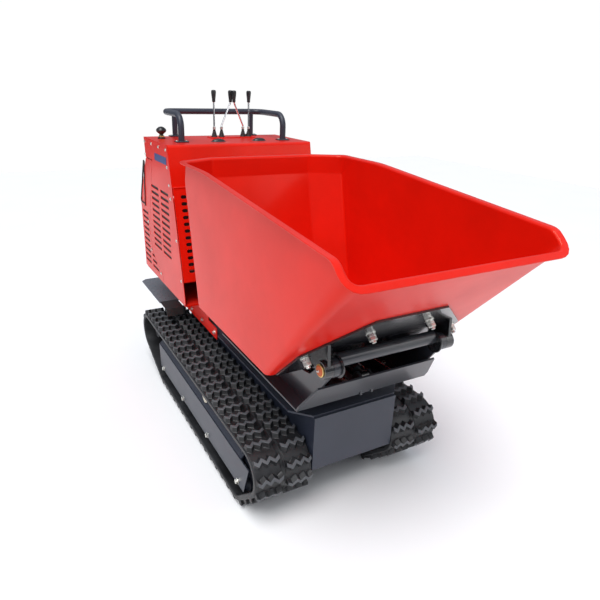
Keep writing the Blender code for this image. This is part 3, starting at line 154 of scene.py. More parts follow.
def rubber_effects():
    """Moulded rubber: mottled tone, scuff marks on its edges and a fine grain."""
    tree, given, out = group_tree("dumper_rubber_effects", "ShaderNodeTree", [
        ("Colour", "NodeSocketColor", (0.02, 0.02, 0.02, 1)), ("Scuff Colour", "NodeSocketColor", (0.1, 0.1, 0.1, 1)),
        ("Roughness", "NodeSocketFloat", 0.6), ("Scuff", "NodeSocketFloat", 0.5), ("Grain", "NodeSocketFloat", 0.4)],
        [("Colour", "NodeSocketColor"), ("Roughness", "NodeSocketFloat"), ("Normal", "NodeSocketVector")])
    where = add(tree, "ShaderNodeTexCoord").outputs["Object"]
    broad = noise(tree, where, 9.0, 5.0, 0.65)
    grain = noise(tree, where, 260.0, 3.0, 0.7)
    bevel, edge = rounded_edges(tree, 0.003)
    marks = math_node(tree, "MULTIPLY", edge, ramp(tree, broad, 0.35, 0.7, 0.2, 1.0))
    scuff = math_node(tree, "MULTIPLY", marks, given["Scuff"], True)
    tone = mix_colour(tree, ramp(tree, broad, 0.4, 0.75, 0.0, 0.5), given["Colour"], given["Scuff Colour"])
    tree.links.new(mix_colour(tree, scuff, tone, given["Scuff Colour"]), out["Colour"])
    rough = math_node(tree, "ADD", given["Roughness"], ramp(tree, broad, 0.25, 0.75, -0.14, 0.10), True)
    tree.links.new(rough, out["Roughness"])
    height = math_node(tree, "ADD", grain, math_node(tree, "MULTIPLY", broad, 2.0))
    bump = add(tree, "ShaderNodeBump", {"Strength": given["Grain"], "Distance": 0.0008, "Height": height,
                                        "Normal": bevel})
    tree.links.new(bump.outputs[0], out["Normal"])
    return tree


def metal_effects():
    """Bare or plated metal: brushed or cast grain, tarnish and soft edges."""
    tree, given, out = group_tree("dumper_metal_effects", "ShaderNodeTree", [
        ("Colour", "NodeSocketColor", (0.6, 0.6, 0.6, 1)), ("Tarnish Colour", "NodeSocketColor", (0.3, 0.28, 0.25, 1)),
        ("Roughness", "NodeSocketFloat", 0.3), ("Tarnish", "NodeSocketFloat", 0.3), ("Grain", "NodeSocketFloat", 0.2),
        ("Grain Scale", "NodeSocketFloat", 300.0)],
        [("Colour", "NodeSocketColor"), ("Roughness", "NodeSocketFloat"), ("Normal", "NodeSocketVector")])
    where = add(tree, "ShaderNodeTexCoord").outputs["Object"]
    spots = noise(tree, where, 45.0, 5.0, 0.65)
    grain = noise(tree, where, given["Grain Scale"], 2.0)
    bevel, edge = rounded_edges(tree, 0.0012)
    stain = math_node(tree, "MULTIPLY", ramp(tree, spots, 0.42, 0.72), given["Tarnish"], True)
    base = mix_colour(tree, stain, given["Colour"], given["Tarnish Colour"])
    bright = mix_colour(tree, math_node(tree, "MULTIPLY", edge, 0.4), base, given["Colour"])
    tree.links.new(bright, out["Colour"])
    rough = math_node(tree, "ADD", given["Roughness"], math_node(tree, "MULTIPLY", stain, 0.35), True)
    tree.links.new(rough, out["Roughness"])
    bump = add(tree, "ShaderNodeBump", {"Strength": given["Grain"], "Distance": 0.0004, "Height": grain,
                                        "Normal": bevel})
    tree.links.new(bump.outputs[0], out["Normal"])
    return tree


EFFECTS = {}
FINISHES = {
    # name: (effects, group inputs, shader inputs)
    "red": ("paint", {"Colour": (0.80, 0.010, 0.003, 1), "Worn Colour": (0.80, 0.10, 0.08, 1), "Roughness": 0.32,
                      "Edge Wear": 0.4, "Dust": 0.03, "Peel": 0.10, "Edge Radius": 0.0022},
            {"Coat Weight": 0.12, "Coat Roughness": 0.12, "Specular IOR Level": 0.30,
             "Specular Tint": (1.0, 0.55, 0.35, 1), "Coat Tint": (1.0, 0.85, 0.75, 1)}),
    "blue_grey": ("paint", {"Colour": (0.026, 0.032, 0.052, 1), "Worn Colour": (0.16, 0.17, 0.19, 1),
                            "Dust Colour": (0.16, 0.16, 0.17, 1), "Roughness": 0.42, "Edge Wear": 0.5, "Dust": 0.18,
                            "Peel": 0.16, "Edge Radius": 0.0018},
                  {"Coat Weight": 0.15, "Coat Roughness": 0.25}),
    # A darker, glossier copy of the blue-grey paint for the swivel frame. Its extra darkness is painted shade for the
    # walls that face down.
    "tray": ("paint", {"Colour": (0.022, 0.024, 0.032, 1), "Worn Colour": (0.12, 0.12, 0.13, 1),
                       "Dust Colour": (0.14, 0.14, 0.14, 1), "Roughness": 0.30, "Edge Wear": 0.5, "Dust": 0.08,
                       "Peel": 0.16, "Edge Radius": 0.0018},
             {"Coat Weight": 0.4, "Coat Roughness": 0.12}),
    "black": ("paint", {"Colour": (0.010, 0.010, 0.012, 1), "Worn Colour": (0.09, 0.09, 0.09, 1),
                        "Dust Colour": (0.14, 0.13, 0.12, 1), "Roughness": 0.22, "Edge Wear": 0.4, "Dust": 0.06,
                        "Peel": 0.14, "Edge Radius": 0.0016},
              {"Coat Weight": 0.6, "Coat Roughness": 0.08}),
    "chequer": ("paint", {"Colour": (0.115, 0.130, 0.160, 1), "Worn Colour": (0.34, 0.35, 0.37, 1),
                          "Dust Colour": (0.30, 0.29, 0.27, 1), "Roughness": 0.46, "Edge Wear": 0.9, "Dust": 0.25,
                          "Peel": 0.15, "Edge Radius": 0.001}, {"Metallic": 0.2}),
    "blue_plate": ("paint", {"Colour": (0.020, 0.050, 0.21, 1), "Worn Colour": (0.1, 0.15, 0.3, 1), "Roughness": 0.35,
                             "Edge Wear": 0.2, "Dust": 0.04, "Peel": 0.05, "Edge Radius": 0.0006}, {}),
    "cream": ("paint", {"Colour": (0.62, 0.58, 0.46, 1), "Worn Colour": (0.3, 0.28, 0.25, 1), "Roughness": 0.4,
                        "Edge Wear": 0.5, "Dust": 0.2, "Peel": 0.2, "Edge Radius": 0.001}, {"Metallic": 0.4}),
    "orange": ("paint", {"Colour": (0.60, 0.11, 0.02, 1), "Worn Colour": (0.5, 0.35, 0.2, 1), "Roughness": 0.45,
                         "Edge Wear": 0.8, "Dust": 0.1, "Peel": 0.4, "Edge Radius": 0.0008}, {}),
    "rubber": ("rubber", {"Colour": (0.007, 0.007, 0.008, 1), "Scuff Colour": (0.040, 0.042, 0.048, 1),
                          "Roughness": 0.50, "Scuff": 0.6, "Grain": 0.35}, {"Specular IOR Level": 0.55}),
    # Tops of the tread bars: lighter grey, partly wear and partly a painted sheen that stands for the sky's reflection
    # on them.
    "worn_sheen_rubber": ("rubber", {"Colour": (0.075, 0.078, 0.086, 1), "Scuff Colour": (0.15, 0.155, 0.165, 1),
                               "Roughness": 0.58, "Scuff": 0.7, "Grain": 0.45}, {"Specular IOR Level": 0.45}),
    "soft_rubber": ("rubber", {"Colour": (0.010, 0.010, 0.010, 1), "Scuff Colour": (0.05, 0.05, 0.05, 1),
                               "Roughness": 0.62, "Scuff": 0.3, "Grain": 0.25}, {}),
    "plastic": ("rubber", {"Colour": (0.010, 0.010, 0.011, 1), "Scuff Colour": (0.04, 0.04, 0.045, 1),
                           "Roughness": 0.34, "Scuff": 0.3, "Grain": 0.10}, {"Specular IOR Level": 0.6}),
    "zinc": ("metal", {"Colour": (0.74, 0.74, 0.70, 1), "Tarnish Colour": (0.42, 0.40, 0.33, 1), "Roughness": 0.26,
                       "Tarnish": 0.5, "Grain": 0.15}, {"Metallic": 1.0}),
    "gold": ("metal", {"Colour": (0.78, 0.56, 0.22, 1), "Tarnish Colour": (0.35, 0.22, 0.10, 1), "Roughness": 0.30,
                       "Tarnish": 0.5, "Grain": 0.15}, {"Metallic": 1.0}),
    "chrome": ("metal", {"Colour": (0.86, 0.86, 0.87, 1), "Tarnish Colour": (0.6, 0.6, 0.58, 1), "Roughness": 0.07,
                         "Tarnish": 0.15, "Grain": 0.03}, {"Metallic": 1.0}),
    "iron": ("metal", {"Colour": (0.085, 0.088, 0.095, 1), "Tarnish Colour": (0.045, 0.040, 0.036, 1),
                       "Roughness": 0.50, "Tarnish": 0.6, "Grain": 0.6, "Grain Scale": 160.0}, {"Metallic": 0.6}),
}


def finish(name):
    """The material of that finish, made once."""
    made = bpy.data.materials.get("dumper_" + name)
    if made:
        return made
    kind, values, shading = FINISHES[name]
    if kind not in EFFECTS:
        EFFECTS[kind] = {"paint": paint_effects, "rubber": rubber_effects, "metal": metal_effects}[kind]()
    made = bpy.data.materials.new("dumper_" + name)
    made.use_nodes = True
    tree = made.node_tree
    shader = tree.nodes["Principled BSDF"]
    effects = add(tree, "ShaderNodeGroup", node_tree=EFFECTS[kind])
    for key, value in values.items():
        effects.inputs[key].default_value = value
    tree.links.new(effects.outputs["Colour"], shader.inputs["Base Color"])
    tree.links.new(effects.outputs["Roughness"], shader.inputs["Roughness"])
    tree.links.new(effects.outputs["Normal"], shader.inputs["Normal"])
    for key, value in shading.items():
        shader.inputs[key].default_value = value
    made.diffuse_color = values["Colour"]
    return made


# ---- mesh helpers -------------------------------------------------------------------------
def object_of(name, mesh, matrix=None):
    if matrix is not None:
        mesh.transform(matrix)
    obj = bpy.data.objects.new(name, mesh)
    bpy.context.scene.collection.objects.link(obj)
    return obj


def from_bmesh(name, bm, matrix=None, turn_out=True):
    if turn_out:
        bmesh.ops.recalc_face_normals(bm, faces=bm.faces)
    mesh = bpy.data.meshes.new(name)
    bm.to_mesh(mesh)
    bm.free()
    return object_of(name, mesh, matrix)


def from_lists(name, points, faces=(), edges=(), matrix=None):
    mesh = bpy.data.meshes.new(name)
    mesh.from_pydata([tuple(p) for p in points], list(edges), list(faces))
    mesh.validate()
    return object_of(name, mesh, matrix)


def modifier(obj, kind, **settings):
    made = obj.modifiers.new(kind.lower(), kind)
    for key, value in settings.items():
        setattr(made, key, value)
    return made


def bake(obj):
    """Applies the object's modifiers."""
    bpy.context.view_layer.update()
    graph = bpy.context.evaluated_depsgraph_get()
    mesh = bpy.data.meshes.new_from_object(obj.evaluated_get(graph))
    obj.modifiers.clear()
    obj.data = mesh
    return obj


def smooth(obj, degrees=32.0):
    obj.data.shade_smooth()
    obj.data.set_sharp_from_angle(angle=math.radians(degrees))
    return obj


def soften(obj, width, segments=2, degrees=30.0, weighted=True):
    """Rounds the sharp edges of a mesh."""
    modifier(obj, "BEVEL", width=width, segments=segments, limit_method="ANGLE", angle_limit=math.radians(degrees),
             harden_normals=False)
    bake(obj)
    smooth(obj)
    if weighted:
        modifier(obj, "WEIGHTED_NORMAL", keep_sharp=True)
        bake(obj)
    return obj


def join(name, objects):
    """One object of several, each with its own material slots kept."""
    bm = bmesh.new()
    materials = []
    for obj in objects:
        offset = []
        for slot in obj.data.materials:
            if slot not in materials:
                materials.append(slot)
            offset.append(materials.index(slot))
        before = len(bm.faces)
        bm.from_mesh(obj.data)
        bm.faces.ensure_lookup_table()
        for face in bm.faces[before:]:
            face.material_index = offset[face.material_index] if offset else 0
    mesh = bpy.data.meshes.new(name)
    bm.to_mesh(mesh)
    bm.free()
    for material in materials:
        mesh.materials.append(material)
    for obj in objects:
        bpy.data.objects.remove(obj, do_unlink=True)
    return object_of(name, mesh)


def paint(obj, name):
    obj.data.materials.clear()
    obj.data.materials.append(finish(name))
    return obj


def settle(obj, body, replaces=()):
    """The last step for a piece: it rides on its body and stands for its CAD nodes."""
    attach(obj, body)
    if replaces:
        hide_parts(*replaces)
    return obj


def rod(name, points, radius, material, sides=3, cyclic=False):
    """A round bar or hose along points."""
    curve = bpy.data.curves.new(name, "CURVE")
    curve.dimensions = "3D"
    curve.bevel_depth = radius
    curve.bevel_resolution = sides
    curve.use_fill_caps = True
    spline = curve.splines.new("POLY")
    spline.points.add(len(points) - 1)
    for point, place in zip(spline.points, points):
        point.co = (*place, 1.0)
    spline.use_cyclic_u = cyclic
    source = bpy.data.objects.new(name + "_line", curve)
    bpy.context.scene.collection.objects.link(source)
    bpy.context.view_layer.update()
    graph = bpy.context.evaluated_depsgraph_get()
    mesh = bpy.data.meshes.new_from_object(source.evaluated_get(graph))
    bpy.data.objects.remove(source, do_unlink=True)
    bm = bmesh.new()
    bm.from_mesh(mesh)
    bmesh.ops.remove_doubles(bm, verts=bm.verts, dist=0.00001)
    obj = from_bmesh(name, bm)
    return paint(smooth(obj, 40), material)


def through(points, steps=6):
    """A smooth line through points (Catmull-Rom)."""
    line = []
    padded = [Vector(points[0]) * 2 - Vector(points[1]), *map(Vector, points),
              Vector(points[-1]) * 2 - Vector(points[-2])]
    for k in range(1, len(padded) - 2):
        a, b, c, d = padded[k - 1:k + 3]
        for s in range(steps):
            t = s / steps
            line.append(0.5 * (2 * b + (c - a) * t + (2 * a - 5 * b + 4 * c - d) * t * t
                               + (3 * b - a - 3 * c + d) * t ** 3))
    line.append(padded[-2])
    return line


def lathe(name, profile, matrix, material, sides=24):
    """A turned piece from (radius, height) pairs, bottom to top along the matrix's Z."""
    points, faces = [], []
    for radius, height in profile:
        for k in range(sides):
            a = math.tau * k / sides
            points.append((radius * math.cos(a), radius * math.sin(a), height))
    for ring in range(len(profile) - 1):
        for k in range(sides):
            n = (k + 1) % sides
            faces.append((ring * sides + k, ring * sides + n, (ring + 1) * sides + n, (ring + 1) * sides + k))
    faces.append(tuple(reversed(range(sides))))
    faces.append(tuple(range((len(profile) - 1) * sides, len(profile) * sides)))
    obj = from_lists(name, points, faces, matrix=matrix)
    return paint(smooth(obj, 35), material)


def prism(name, outline, thickness, matrix, material, bevel=0.0):
    """A plate of an outline in the matrix's XY plane, centred on its thickness."""
    bm = bmesh.new()
    low = [bm.verts.new((u, v, -thickness / 2)) for u, v in outline]
    high = [bm.verts.new((u, v, thickness / 2)) for u, v in outline]
    bm.faces.new(list(reversed(low)))
    bm.faces.new(high)
    for k in range(len(outline)):
        n = (k + 1) % len(outline)
        bm.faces.new((low[k], low[n], high[n], high[k]))
    obj = from_bmesh(name, bm, matrix)
    if bevel:
        soften(obj, bevel)
    return paint(obj, material)


def slab(name, low, high, material, bevel=0.001):
    size = [high[k] - low[k] for k in range(3)]
    middle = [(high[k] + low[k]) / 2 for k in range(3)]
    half = [(-size[0] / 2, -size[1] / 2), (size[0] / 2, -size[1] / 2), (size[0] / 2, size[1] / 2),
            (-size[0] / 2, size[1] / 2)]
    return prism(name, half, size[2], Matrix.Translation(middle), material, bevel)


def facing(direction, place):
    """A matrix whose Z points that way, at that place."""
    return Matrix.Translation(place) @ Vector(direction).to_track_quat("Z", "Y").to_matrix().to_4x4()


# ---- repeated details, as Geometry Nodes --------------------------------------------------
def scatter_tree():
    """Puts a copy of a piece on each point, turned as the point's attribute says."""
    name = "dumper_scatter"
    if name in bpy.data.node_groups:
        return bpy.data.node_groups[name]
    tree, given, out = group_tree(name, "GeometryNodeTree", [
        ("Geometry", "NodeSocketGeometry", None), ("Piece", "NodeSocketObject", None),
        ("Material", "NodeSocketMaterial", None), ("Twist", "NodeSocketFloat", 0.5), ("Seed", "NodeSocketInt", 3)],
        [("Geometry", "NodeSocketGeometry")])
    piece = add(tree, "GeometryNodeObjectInfo", {"Object": given["Piece"]}).outputs["Geometry"]
    turn = add(tree, "GeometryNodeInputNamedAttribute", {"Name": "turn"}, data_type="FLOAT_VECTOR").outputs[0]
    rotation = add(tree, "FunctionNodeEulerToRotation", {0: turn}).outputs[0]
    low = math_node(tree, "MULTIPLY", given["Twist"], -1.0)
    spin = add(tree, "FunctionNodeRandomValue", {2: low, 3: given["Twist"], "Seed": given["Seed"]}, data_type="FLOAT")
    about = add(tree, "ShaderNodeCombineXYZ", {"Z": spin.outputs[1]}).outputs[0]
    local = add(tree, "FunctionNodeEulerToRotation", {0: about}).outputs[0]
    turned = add(tree, "FunctionNodeRotateRotation", {0: rotation, 1: local}, rotation_space="LOCAL").outputs[0]
    copies = add(tree, "GeometryNodeInstanceOnPoints", {"Points": given["Geometry"], "Instance": piece,
                                                        "Rotation": turned}).outputs[0]
    real = add(tree, "GeometryNodeRealizeInstances", {0: copies}).outputs[0]
    painted = add(tree, "GeometryNodeSetMaterial", {"Geometry": real, "Material": given["Material"]}).outputs[0]
    tree.links.new(painted, out["Geometry"])
    return tree


def socket_id(tree, label):
    for item in tree.interface.items_tree:
        if item.item_type == "SOCKET" and item.in_out == "INPUT" and item.name == label:
            return item.identifier
    raise KeyError(label)


def grow(obj, tree, **values):
    """Runs a Geometry Nodes tree on an object and keeps the mesh it makes."""
    nodes = modifier(obj, "NODES", node_group=tree)
    for label, value in values.items():
        nodes[socket_id(tree, label.replace("_", " "))] = value
    obj.update_tag()
    return bake(obj)


def scatter(name, places, piece, material, twist=0.6, seed=3, degrees=32.0):
    """Copies of a piece at (place, direction) pairs; the piece is used up."""
    obj = from_lists(name, [place for place, _ in places])
    turn = obj.data.attributes.new("turn", "FLOAT_VECTOR", "POINT")
    for k, (_, direction) in enumerate(places):
        turn.data[k].vector = Vector(direction).to_track_quat("Z", "Y").to_euler()
    grow(obj, scatter_tree(), Piece=piece, Material=finish(material), Twist=twist, Seed=seed)
    bpy.data.objects.remove(piece, do_unlink=True)
    return smooth(obj, degrees)


def pierced_tree():
    """Fills an outline drawn in its XY plane, less a rounded slot at each point of another object."""
    name = "dumper_pierced_sheet"
    if name in bpy.data.node_groups:
        return bpy.data.node_groups[name]
    tree, given, out = group_tree(name, "GeometryNodeTree", [
        ("Geometry", "NodeSocketGeometry", None), ("Slots", "NodeSocketObject", None),
        ("Slot Length", "NodeSocketFloat", 0.1), ("Slot Height", "NodeSocketFloat", 0.014),
        ("Corner", "NodeSocketFloat", 0.004), ("Thickness", "NodeSocketFloat", 0.003),
        ("Material", "NodeSocketMaterial", None)], [("Geometry", "NodeSocketGeometry")])
    outline = add(tree, "GeometryNodeMeshToCurve", {"Mesh": given["Geometry"]}).outputs[0]
    shape = add(tree, "GeometryNodeCurvePrimitiveQuadrilateral", {"Width": given["Slot Length"],
                                                                  "Height": given["Slot Height"]}).outputs[0]
    rounded = add(tree, "GeometryNodeFilletCurve", {"Curve": shape, "Count": 3, "Radius": given["Corner"],
                                                    "Limit Radius": True}, mode="POLY").outputs[0]
    points = add(tree, "GeometryNodeObjectInfo", {"Object": given["Slots"]}).outputs["Geometry"]
    stretch = add(tree, "GeometryNodeInputNamedAttribute", {"Name": "stretch"}, data_type="FLOAT_VECTOR").outputs[0]
    slots = add(tree, "GeometryNodeInstanceOnPoints", {"Points": points, "Instance": rounded,
                                                       "Scale": stretch}).outputs[0]
    real = add(tree, "GeometryNodeRealizeInstances", {0: slots}).outputs[0]
    both = add(tree, "GeometryNodeJoinGeometry")
    tree.links.new(real, both.inputs[0])
    tree.links.new(outline, both.inputs[0])
    sheet = add(tree, "GeometryNodeFillCurve", {"Curve": both.outputs[0]}, mode="TRIANGLES").outputs[0]
    raised = add(tree, "GeometryNodeExtrudeMesh", {"Mesh": sheet, "Offset Scale": given["Thickness"],
                                                   "Individual": False}, mode="FACES").outputs[0]
    under = add(tree, "GeometryNodeFlipFaces", {"Mesh": sheet}).outputs[0]
    closed = add(tree, "GeometryNodeJoinGeometry")
    tree.links.new(under, closed.inputs[0])
    tree.links.new(raised, closed.inputs[0])
    merged = add(tree, "GeometryNodeMergeByDistance", {"Geometry": closed.outputs[0], "Distance": 0.00002}).outputs[0]
    painted = add(tree, "GeometryNodeSetMaterial", {"Geometry": merged, "Material": given["Material"]}).outputs[0]
    tree.links.new(painted, out["Geometry"])
    return tree


def pierced_sheet(name, outline, slots, slot_size, corner, thickness, matrix, material):
    """A sheet with slots through it, its outside at local +Z."""
    count = len(outline)
    obj = from_lists(name, [(u, v, 0.0) for u, v in outline], edges=[(k, (k + 1) % count) for k in range(count)])
    points = from_lists(name + "_slots", [(slot[0], slot[1], 0.0) for slot in slots])
    stretch = points.data.attributes.new("stretch", "FLOAT_VECTOR", "POINT")
    for k, slot in enumerate(slots):
        stretch.data[k].vector = (slot[2] if len(slot) > 2 else 1.0, 1.0, 1.0)
    grow(obj, pierced_tree(), Slots=points, Slot_Length=slot_size[0], Slot_Height=slot_size[1], Corner=corner,
         Thickness=thickness, Material=finish(material))
    bpy.data.objects.remove(points, do_unlink=True)
    obj.data.transform(matrix @ Matrix.Translation((0, 0, -thickness)))
    return smooth(obj, 30)


# ---- bolt pieces --------------------------------------------------------------------------
def stack(name, layers):
    """Stacked discs or hexagons: (sides, radius, low, high, edge) each, along +Z."""
    bm = bmesh.new()
    for sides, radius, low, high, edge in layers:
        rings = [(radius - edge, low), (radius, low + edge), (radius, high - edge), (radius - edge, high)]
        loops = []
        for r, z in rings:
            loops.append([bm.verts.new((r * math.cos(math.tau * k / sides), r * math.sin(math.tau * k / sides), z))
                          for k in range(sides)])
        for a, b in zip(loops, loops[1:]):
            for k in range(sides):
                n = (k + 1) % sides
                bm.faces.new((a[k], a[n], b[n], b[k]))
        bm.faces.new(list(reversed(loops[0])))
        bm.faces.new(loops[-1])
    return from_bmesh(name, bm, turn_out=False)


def hex_bolt(size):
    """A hexagon head on a washer; size is the thread's diameter."""
    return stack("hex_bolt", [(20, size * 1.10, -0.0005, size * 0.20, size * 0.04),
                              (6, size * 0.92, size * 0.16, size * 0.85, size * 0.07)])


def double_nut(size):
    """A stud with a washer and two nuts."""
    return stack("double_nut", [(20, size * 1.15, -0.0005, size * 0.22, size * 0.04),
                                (6, size * 0.95, size * 0.18, size * 1.00, size * 0.08),
                                (6, size * 0.95, size * 1.04, size * 1.84, size * 0.08),
                                (14, size * 0.50, size * 1.80, size * 2.35, size * 0.06)])


def button_bolt(size):
    return stack("button_bolt", [(16, size * 1.15, -0.0004, size * 0.16, size * 0.04),
                                 (12, size * 0.80, size * 0.10, size * 0.62, size * 0.24)])


# ---- skip ---------------------------------------------------------------------------------
def rounded_ring(corners, reaches, steps=5):
    """A closed line through corners, each rounded from its reach before to its reach after."""
    line = []
    count = len(corners)
    for k in range(count):
        here = Vector(corners[k])
        before = (Vector(corners[k - 1]) - here).normalized() * reaches[k]
        after = (Vector(corners[(k + 1) % count]) - here).normalized() * reaches[k]
        for s in range(steps + 1):
            t = s / steps
            line.append(here + before * (1 - t) ** 2 + after * t ** 2)
    return line


def both_sides(half):
    """A closed ring from points at +X, front to rear, and their mirror images, rear to front."""
    return half + [(-x, y, z) for x, y, z in reversed(half)]


def skip_rings(settings):
    """Rings of the skip's outside: its foot, the two lines of the rear fold, and its rim."""
    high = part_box("skip_side_left")[1]
    wall_x = high.x - settings.flange
    floor_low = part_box("skip_floor")[0]
    rear_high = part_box("skip_rear")[1]
    foot_z = floor_low.z
    front_y = floor_low.y
    rim_z = high.z
    back_y = rear_high.y - settings.flange
    corner_y = back_y - settings.corner_depth
    slope = settings.rear_slope
    fold_z = rim_z - settings.band
    foot_back = back_y - slope * (fold_z - foot_z)
    foot_corner = corner_y - slope * (fold_z - foot_z)
    middle = settings.middle_width / 2
    return dict(wall_x=wall_x, foot_z=foot_z, front_y=front_y, rim_z=rim_z, back_y=back_y, corner_y=corner_y,
                fold_z=fold_z, foot_back=foot_back, foot_corner=foot_corner, middle=middle)


def make_skip(settings):
    """The folded skip: rings from its foot to its rim, bent over into the flange, then given thickness."""
    m = skip_rings(settings)
    x, mid = m["wall_x"], m["middle"]
    lip_y, lip_z = settings.lip_y, settings.lip_z
    cheek_y, cheek_z = settings.cheek_y, settings.cheek_z
    up = Vector((0, lip_y - m["front_y"], lip_z - m["foot_z"] - 0.005)).normalized()
    foot_y = m["front_y"] + 0.0046
    reach = [settings.front_radius, 0.012, 0.03, 0.012, 0.010]
    fold_reach = [settings.lip_radius, 0.022, 0.05, 0.014, 0.010]
    rim_reach = [settings.lip_radius, 0.022, 0.05, 0.040, 0.012]
    foot = [(x, foot_y, m["foot_z"]), (x, foot_y + 0.045, m["foot_z"]), (x, -0.19, m["foot_z"]),
            (x, m["foot_corner"], m["foot_z"]), (mid, m["foot_back"], m["foot_z"])]

    def level(z, drop):
        front = Vector((x, lip_y, lip_z)) - up * drop
        return [tuple(front), (x, cheek_y + drop * 0.75, cheek_z - drop * 0.95), (x, -0.17, z)]

    low_fold = m["fold_z"] - 0.005
    high_fold = m["fold_z"] + 0.005
    shift = settings.rear_slope * 0.005
    fold_a = level(low_fold, 0.100) + [(x, m["corner_y"] - shift, low_fold), (mid, m["back_y"] - shift, low_fold)]
    fold_b = level(high_fold, 0.080) + [(x, m["corner_y"], high_fold), (mid, m["back_y"], high_fold)]
    rim_points = [(x, lip_y, lip_z), (x, cheek_y, cheek_z), (x, -0.17, m["rim_z"]), (x, m["corner_y"], m["rim_z"]),
                  (mid, m["back_y"], m["rim_z"])]

    def ring(half, reaches):
        return rounded_ring(both_sides(half), reaches + list(reversed(reaches)))

    rings = [ring(foot, reach), ring(fold_a, fold_reach), ring(fold_b, fold_reach)]
    rim = ring(rim_points, rim_reach)
    count = len(rim)
    outs, ups = [], []
    for k in range(count):
        along = (rim[(k + 1) % count] - rim[k - 1]).normalized()
        wall = rim[k] - rings[-1][k]
        wall = (wall - along * wall.dot(along)).normalized()
        ups.append(wall)
        outs.append(along.cross(wall).normalized())
    sheet, bend = settings.sheet, settings.bend
    width = settings.flange
    for angle in range(0, 91, 22):
        a = math.radians(angle)
        out, rise = bend * (1 - math.cos(a)), -(sheet + bend) + bend * math.sin(a)
        rings.append([p + outs[k] * out + ups[k] * rise for k, p in enumerate(rim)])
    rings.append([p + outs[k] * width + ups[k] * -sheet for k, p in enumerate(rim)])
    points = [p for line in rings for p in line]
    faces = []
    for r in range(len(rings) - 1):
        for k in range(count):
            n = (k + 1) % count
            faces.append((r * count + k, r * count + n, (r + 1) * count + n, (r + 1) * count + k))
    faces.append(tuple(reversed(range(count))))
    obj = from_lists("skip_shell", points, faces)
    modifier(obj, "SOLIDIFY", thickness=sheet, offset=-1.0, use_quality_normals=True)
    bake(obj)
    smooth(obj, 36)
    modifier(obj, "BEVEL", width=0.0016, segments=2, limit_method="ANGLE", angle_limit=math.radians(50))
    bake(obj)
    smooth(obj, 36)
    modifier(obj, "WEIGHTED_NORMAL", keep_sharp=True, weight=60)
    bake(obj)
    paint(obj, "red")
    settle(obj, "skip", ["skip_floor", "skip_front", "skip_side_left", "skip_side_right", "skip_rear"])


# ---- tracks -------------------------------------------------------------------------------
def loop_parts(wheels):
    """The path round wheels (y, z, radius), clockwise seen from +X with +Y to the right."""
    normals = []
    for k, (y0, z0, r0) in enumerate(wheels):
        y1, z1, r1 = wheels[(k + 1) % len(wheels)]
        span = Vector((y1 - y0, z1 - z0))
        along = span.normalized()
        outward = Vector((-along.y, along.x))
        tilt = math.asin((r1 - r0) / span.length)
        normals.append(outward * math.cos(tilt) - along * math.sin(tilt))
    line = []
    for k, (y0, z0, r0) in enumerate(wheels):
        start = math.atan2(normals[k - 1].y, normals[k - 1].x)
        turn = (start - math.atan2(normals[k].y, normals[k].x)) % math.tau
        steps = max(2, math.ceil(turn / math.radians(7)))
        for s in range(steps + 1):
            a = start - turn * s / steps
            normal = Vector((math.cos(a), math.sin(a)))
            line.append((Vector((y0, z0)), r0, normal))
    return line


def belt_body(name, x, wheels, settings):
    """The plain belt: its section swept round the loop."""
    half, thick, edge = settings.width / 2, settings.thickness, 0.004
    section = [(-half + edge, 0.0), (-0.012, 0.0), (-0.008, -0.004), (0.008, -0.004), (0.012, 0.0), (half - edge, 0.0),
               (half, -edge), (half, -thick + edge), (half - edge, -thick), (-half + edge, -thick),
               (-half, -thick + edge), (-half, -edge)]
    rows = loop_parts(wheels)
    points = []
    for centre, radius, normal in rows:
        for u, h in section:
            p = centre + normal * (radius + h)
            points.append((x + u, p.x, p.y))
    width = len(section)
    faces = []
    for r in range(len(rows)):
        q = (r + 1) % len(rows)
        for k in range(width):
            n = (k + 1) % width
            faces.append((r * width + k, r * width + n, q * width + n, q * width + k))
    obj = from_lists(name, points, faces)
    bm = bmesh.new()
    bm.from_mesh(obj.data)
    bmesh.ops.remove_doubles(bm, verts=bm.verts, dist=0.0001)
    bmesh.ops.recalc_face_normals(bm, faces=bm.faces)
    bm.to_mesh(obj.data)
    bm.free()
    return paint(smooth(obj, 25), "rubber")


def lug(name, settings, flip):
    """One zigzag tread bar, its foot at z = 0."""
    half = settings.lug_length / 2
    line = [(-half, 0.005), (-half * 0.62, -0.0090), (-half * 0.24, 0.0085), (half * 0.06, -0.0070),
            (half * 0.40, 0.0100), (half * 0.72, -0.0065), (half, 0.0060)]
    if flip:
        line = [(-u, v) for u, v in reversed(line)]
    top, foot, height = settings.lug_top / 2, settings.lug_foot / 2, settings.lug_height
    levels = [(foot + 0.004, -0.001, 1.0), (foot, 0.003, 1.0), (top + 0.0016, height - 0.002, 0.975),
              (top, height, 0.955)]
    bm = bmesh.new()
    rings = []
    for reach, z, share in levels:
        near = [bm.verts.new((u * share, v - reach, z)) for u, v in line]
        far = [bm.verts.new((u * share, v + reach, z)) for u, v in reversed(line)]
        rings.append(near + far)
    for a, b in zip(rings, rings[1:]):
        for k in range(len(a)):
            n = (k + 1) % len(a)
            bm.faces.new((a[k], a[n], b[n], b[k]))
    count = len(line)
    for ring, turned in ((rings[-1], False), (rings[0], True)):
        for k in range(count - 1):
            quad = (ring[k], ring[k + 1], ring[2 * count - 2 - k], ring[2 * count - 1 - k])
            bm.faces.new(tuple(reversed(quad)) if turned else quad)
    obj = from_bmesh(name, bm)
    # Marks the top faces for the lighter rubber, which is wear plus a painted sheen.
    worn = obj.data.attributes.new("worn", "BOOLEAN", "FACE")
    for face in obj.data.polygons:
        worn.data[face.index].value = face.center.z > height * 0.95
    return obj


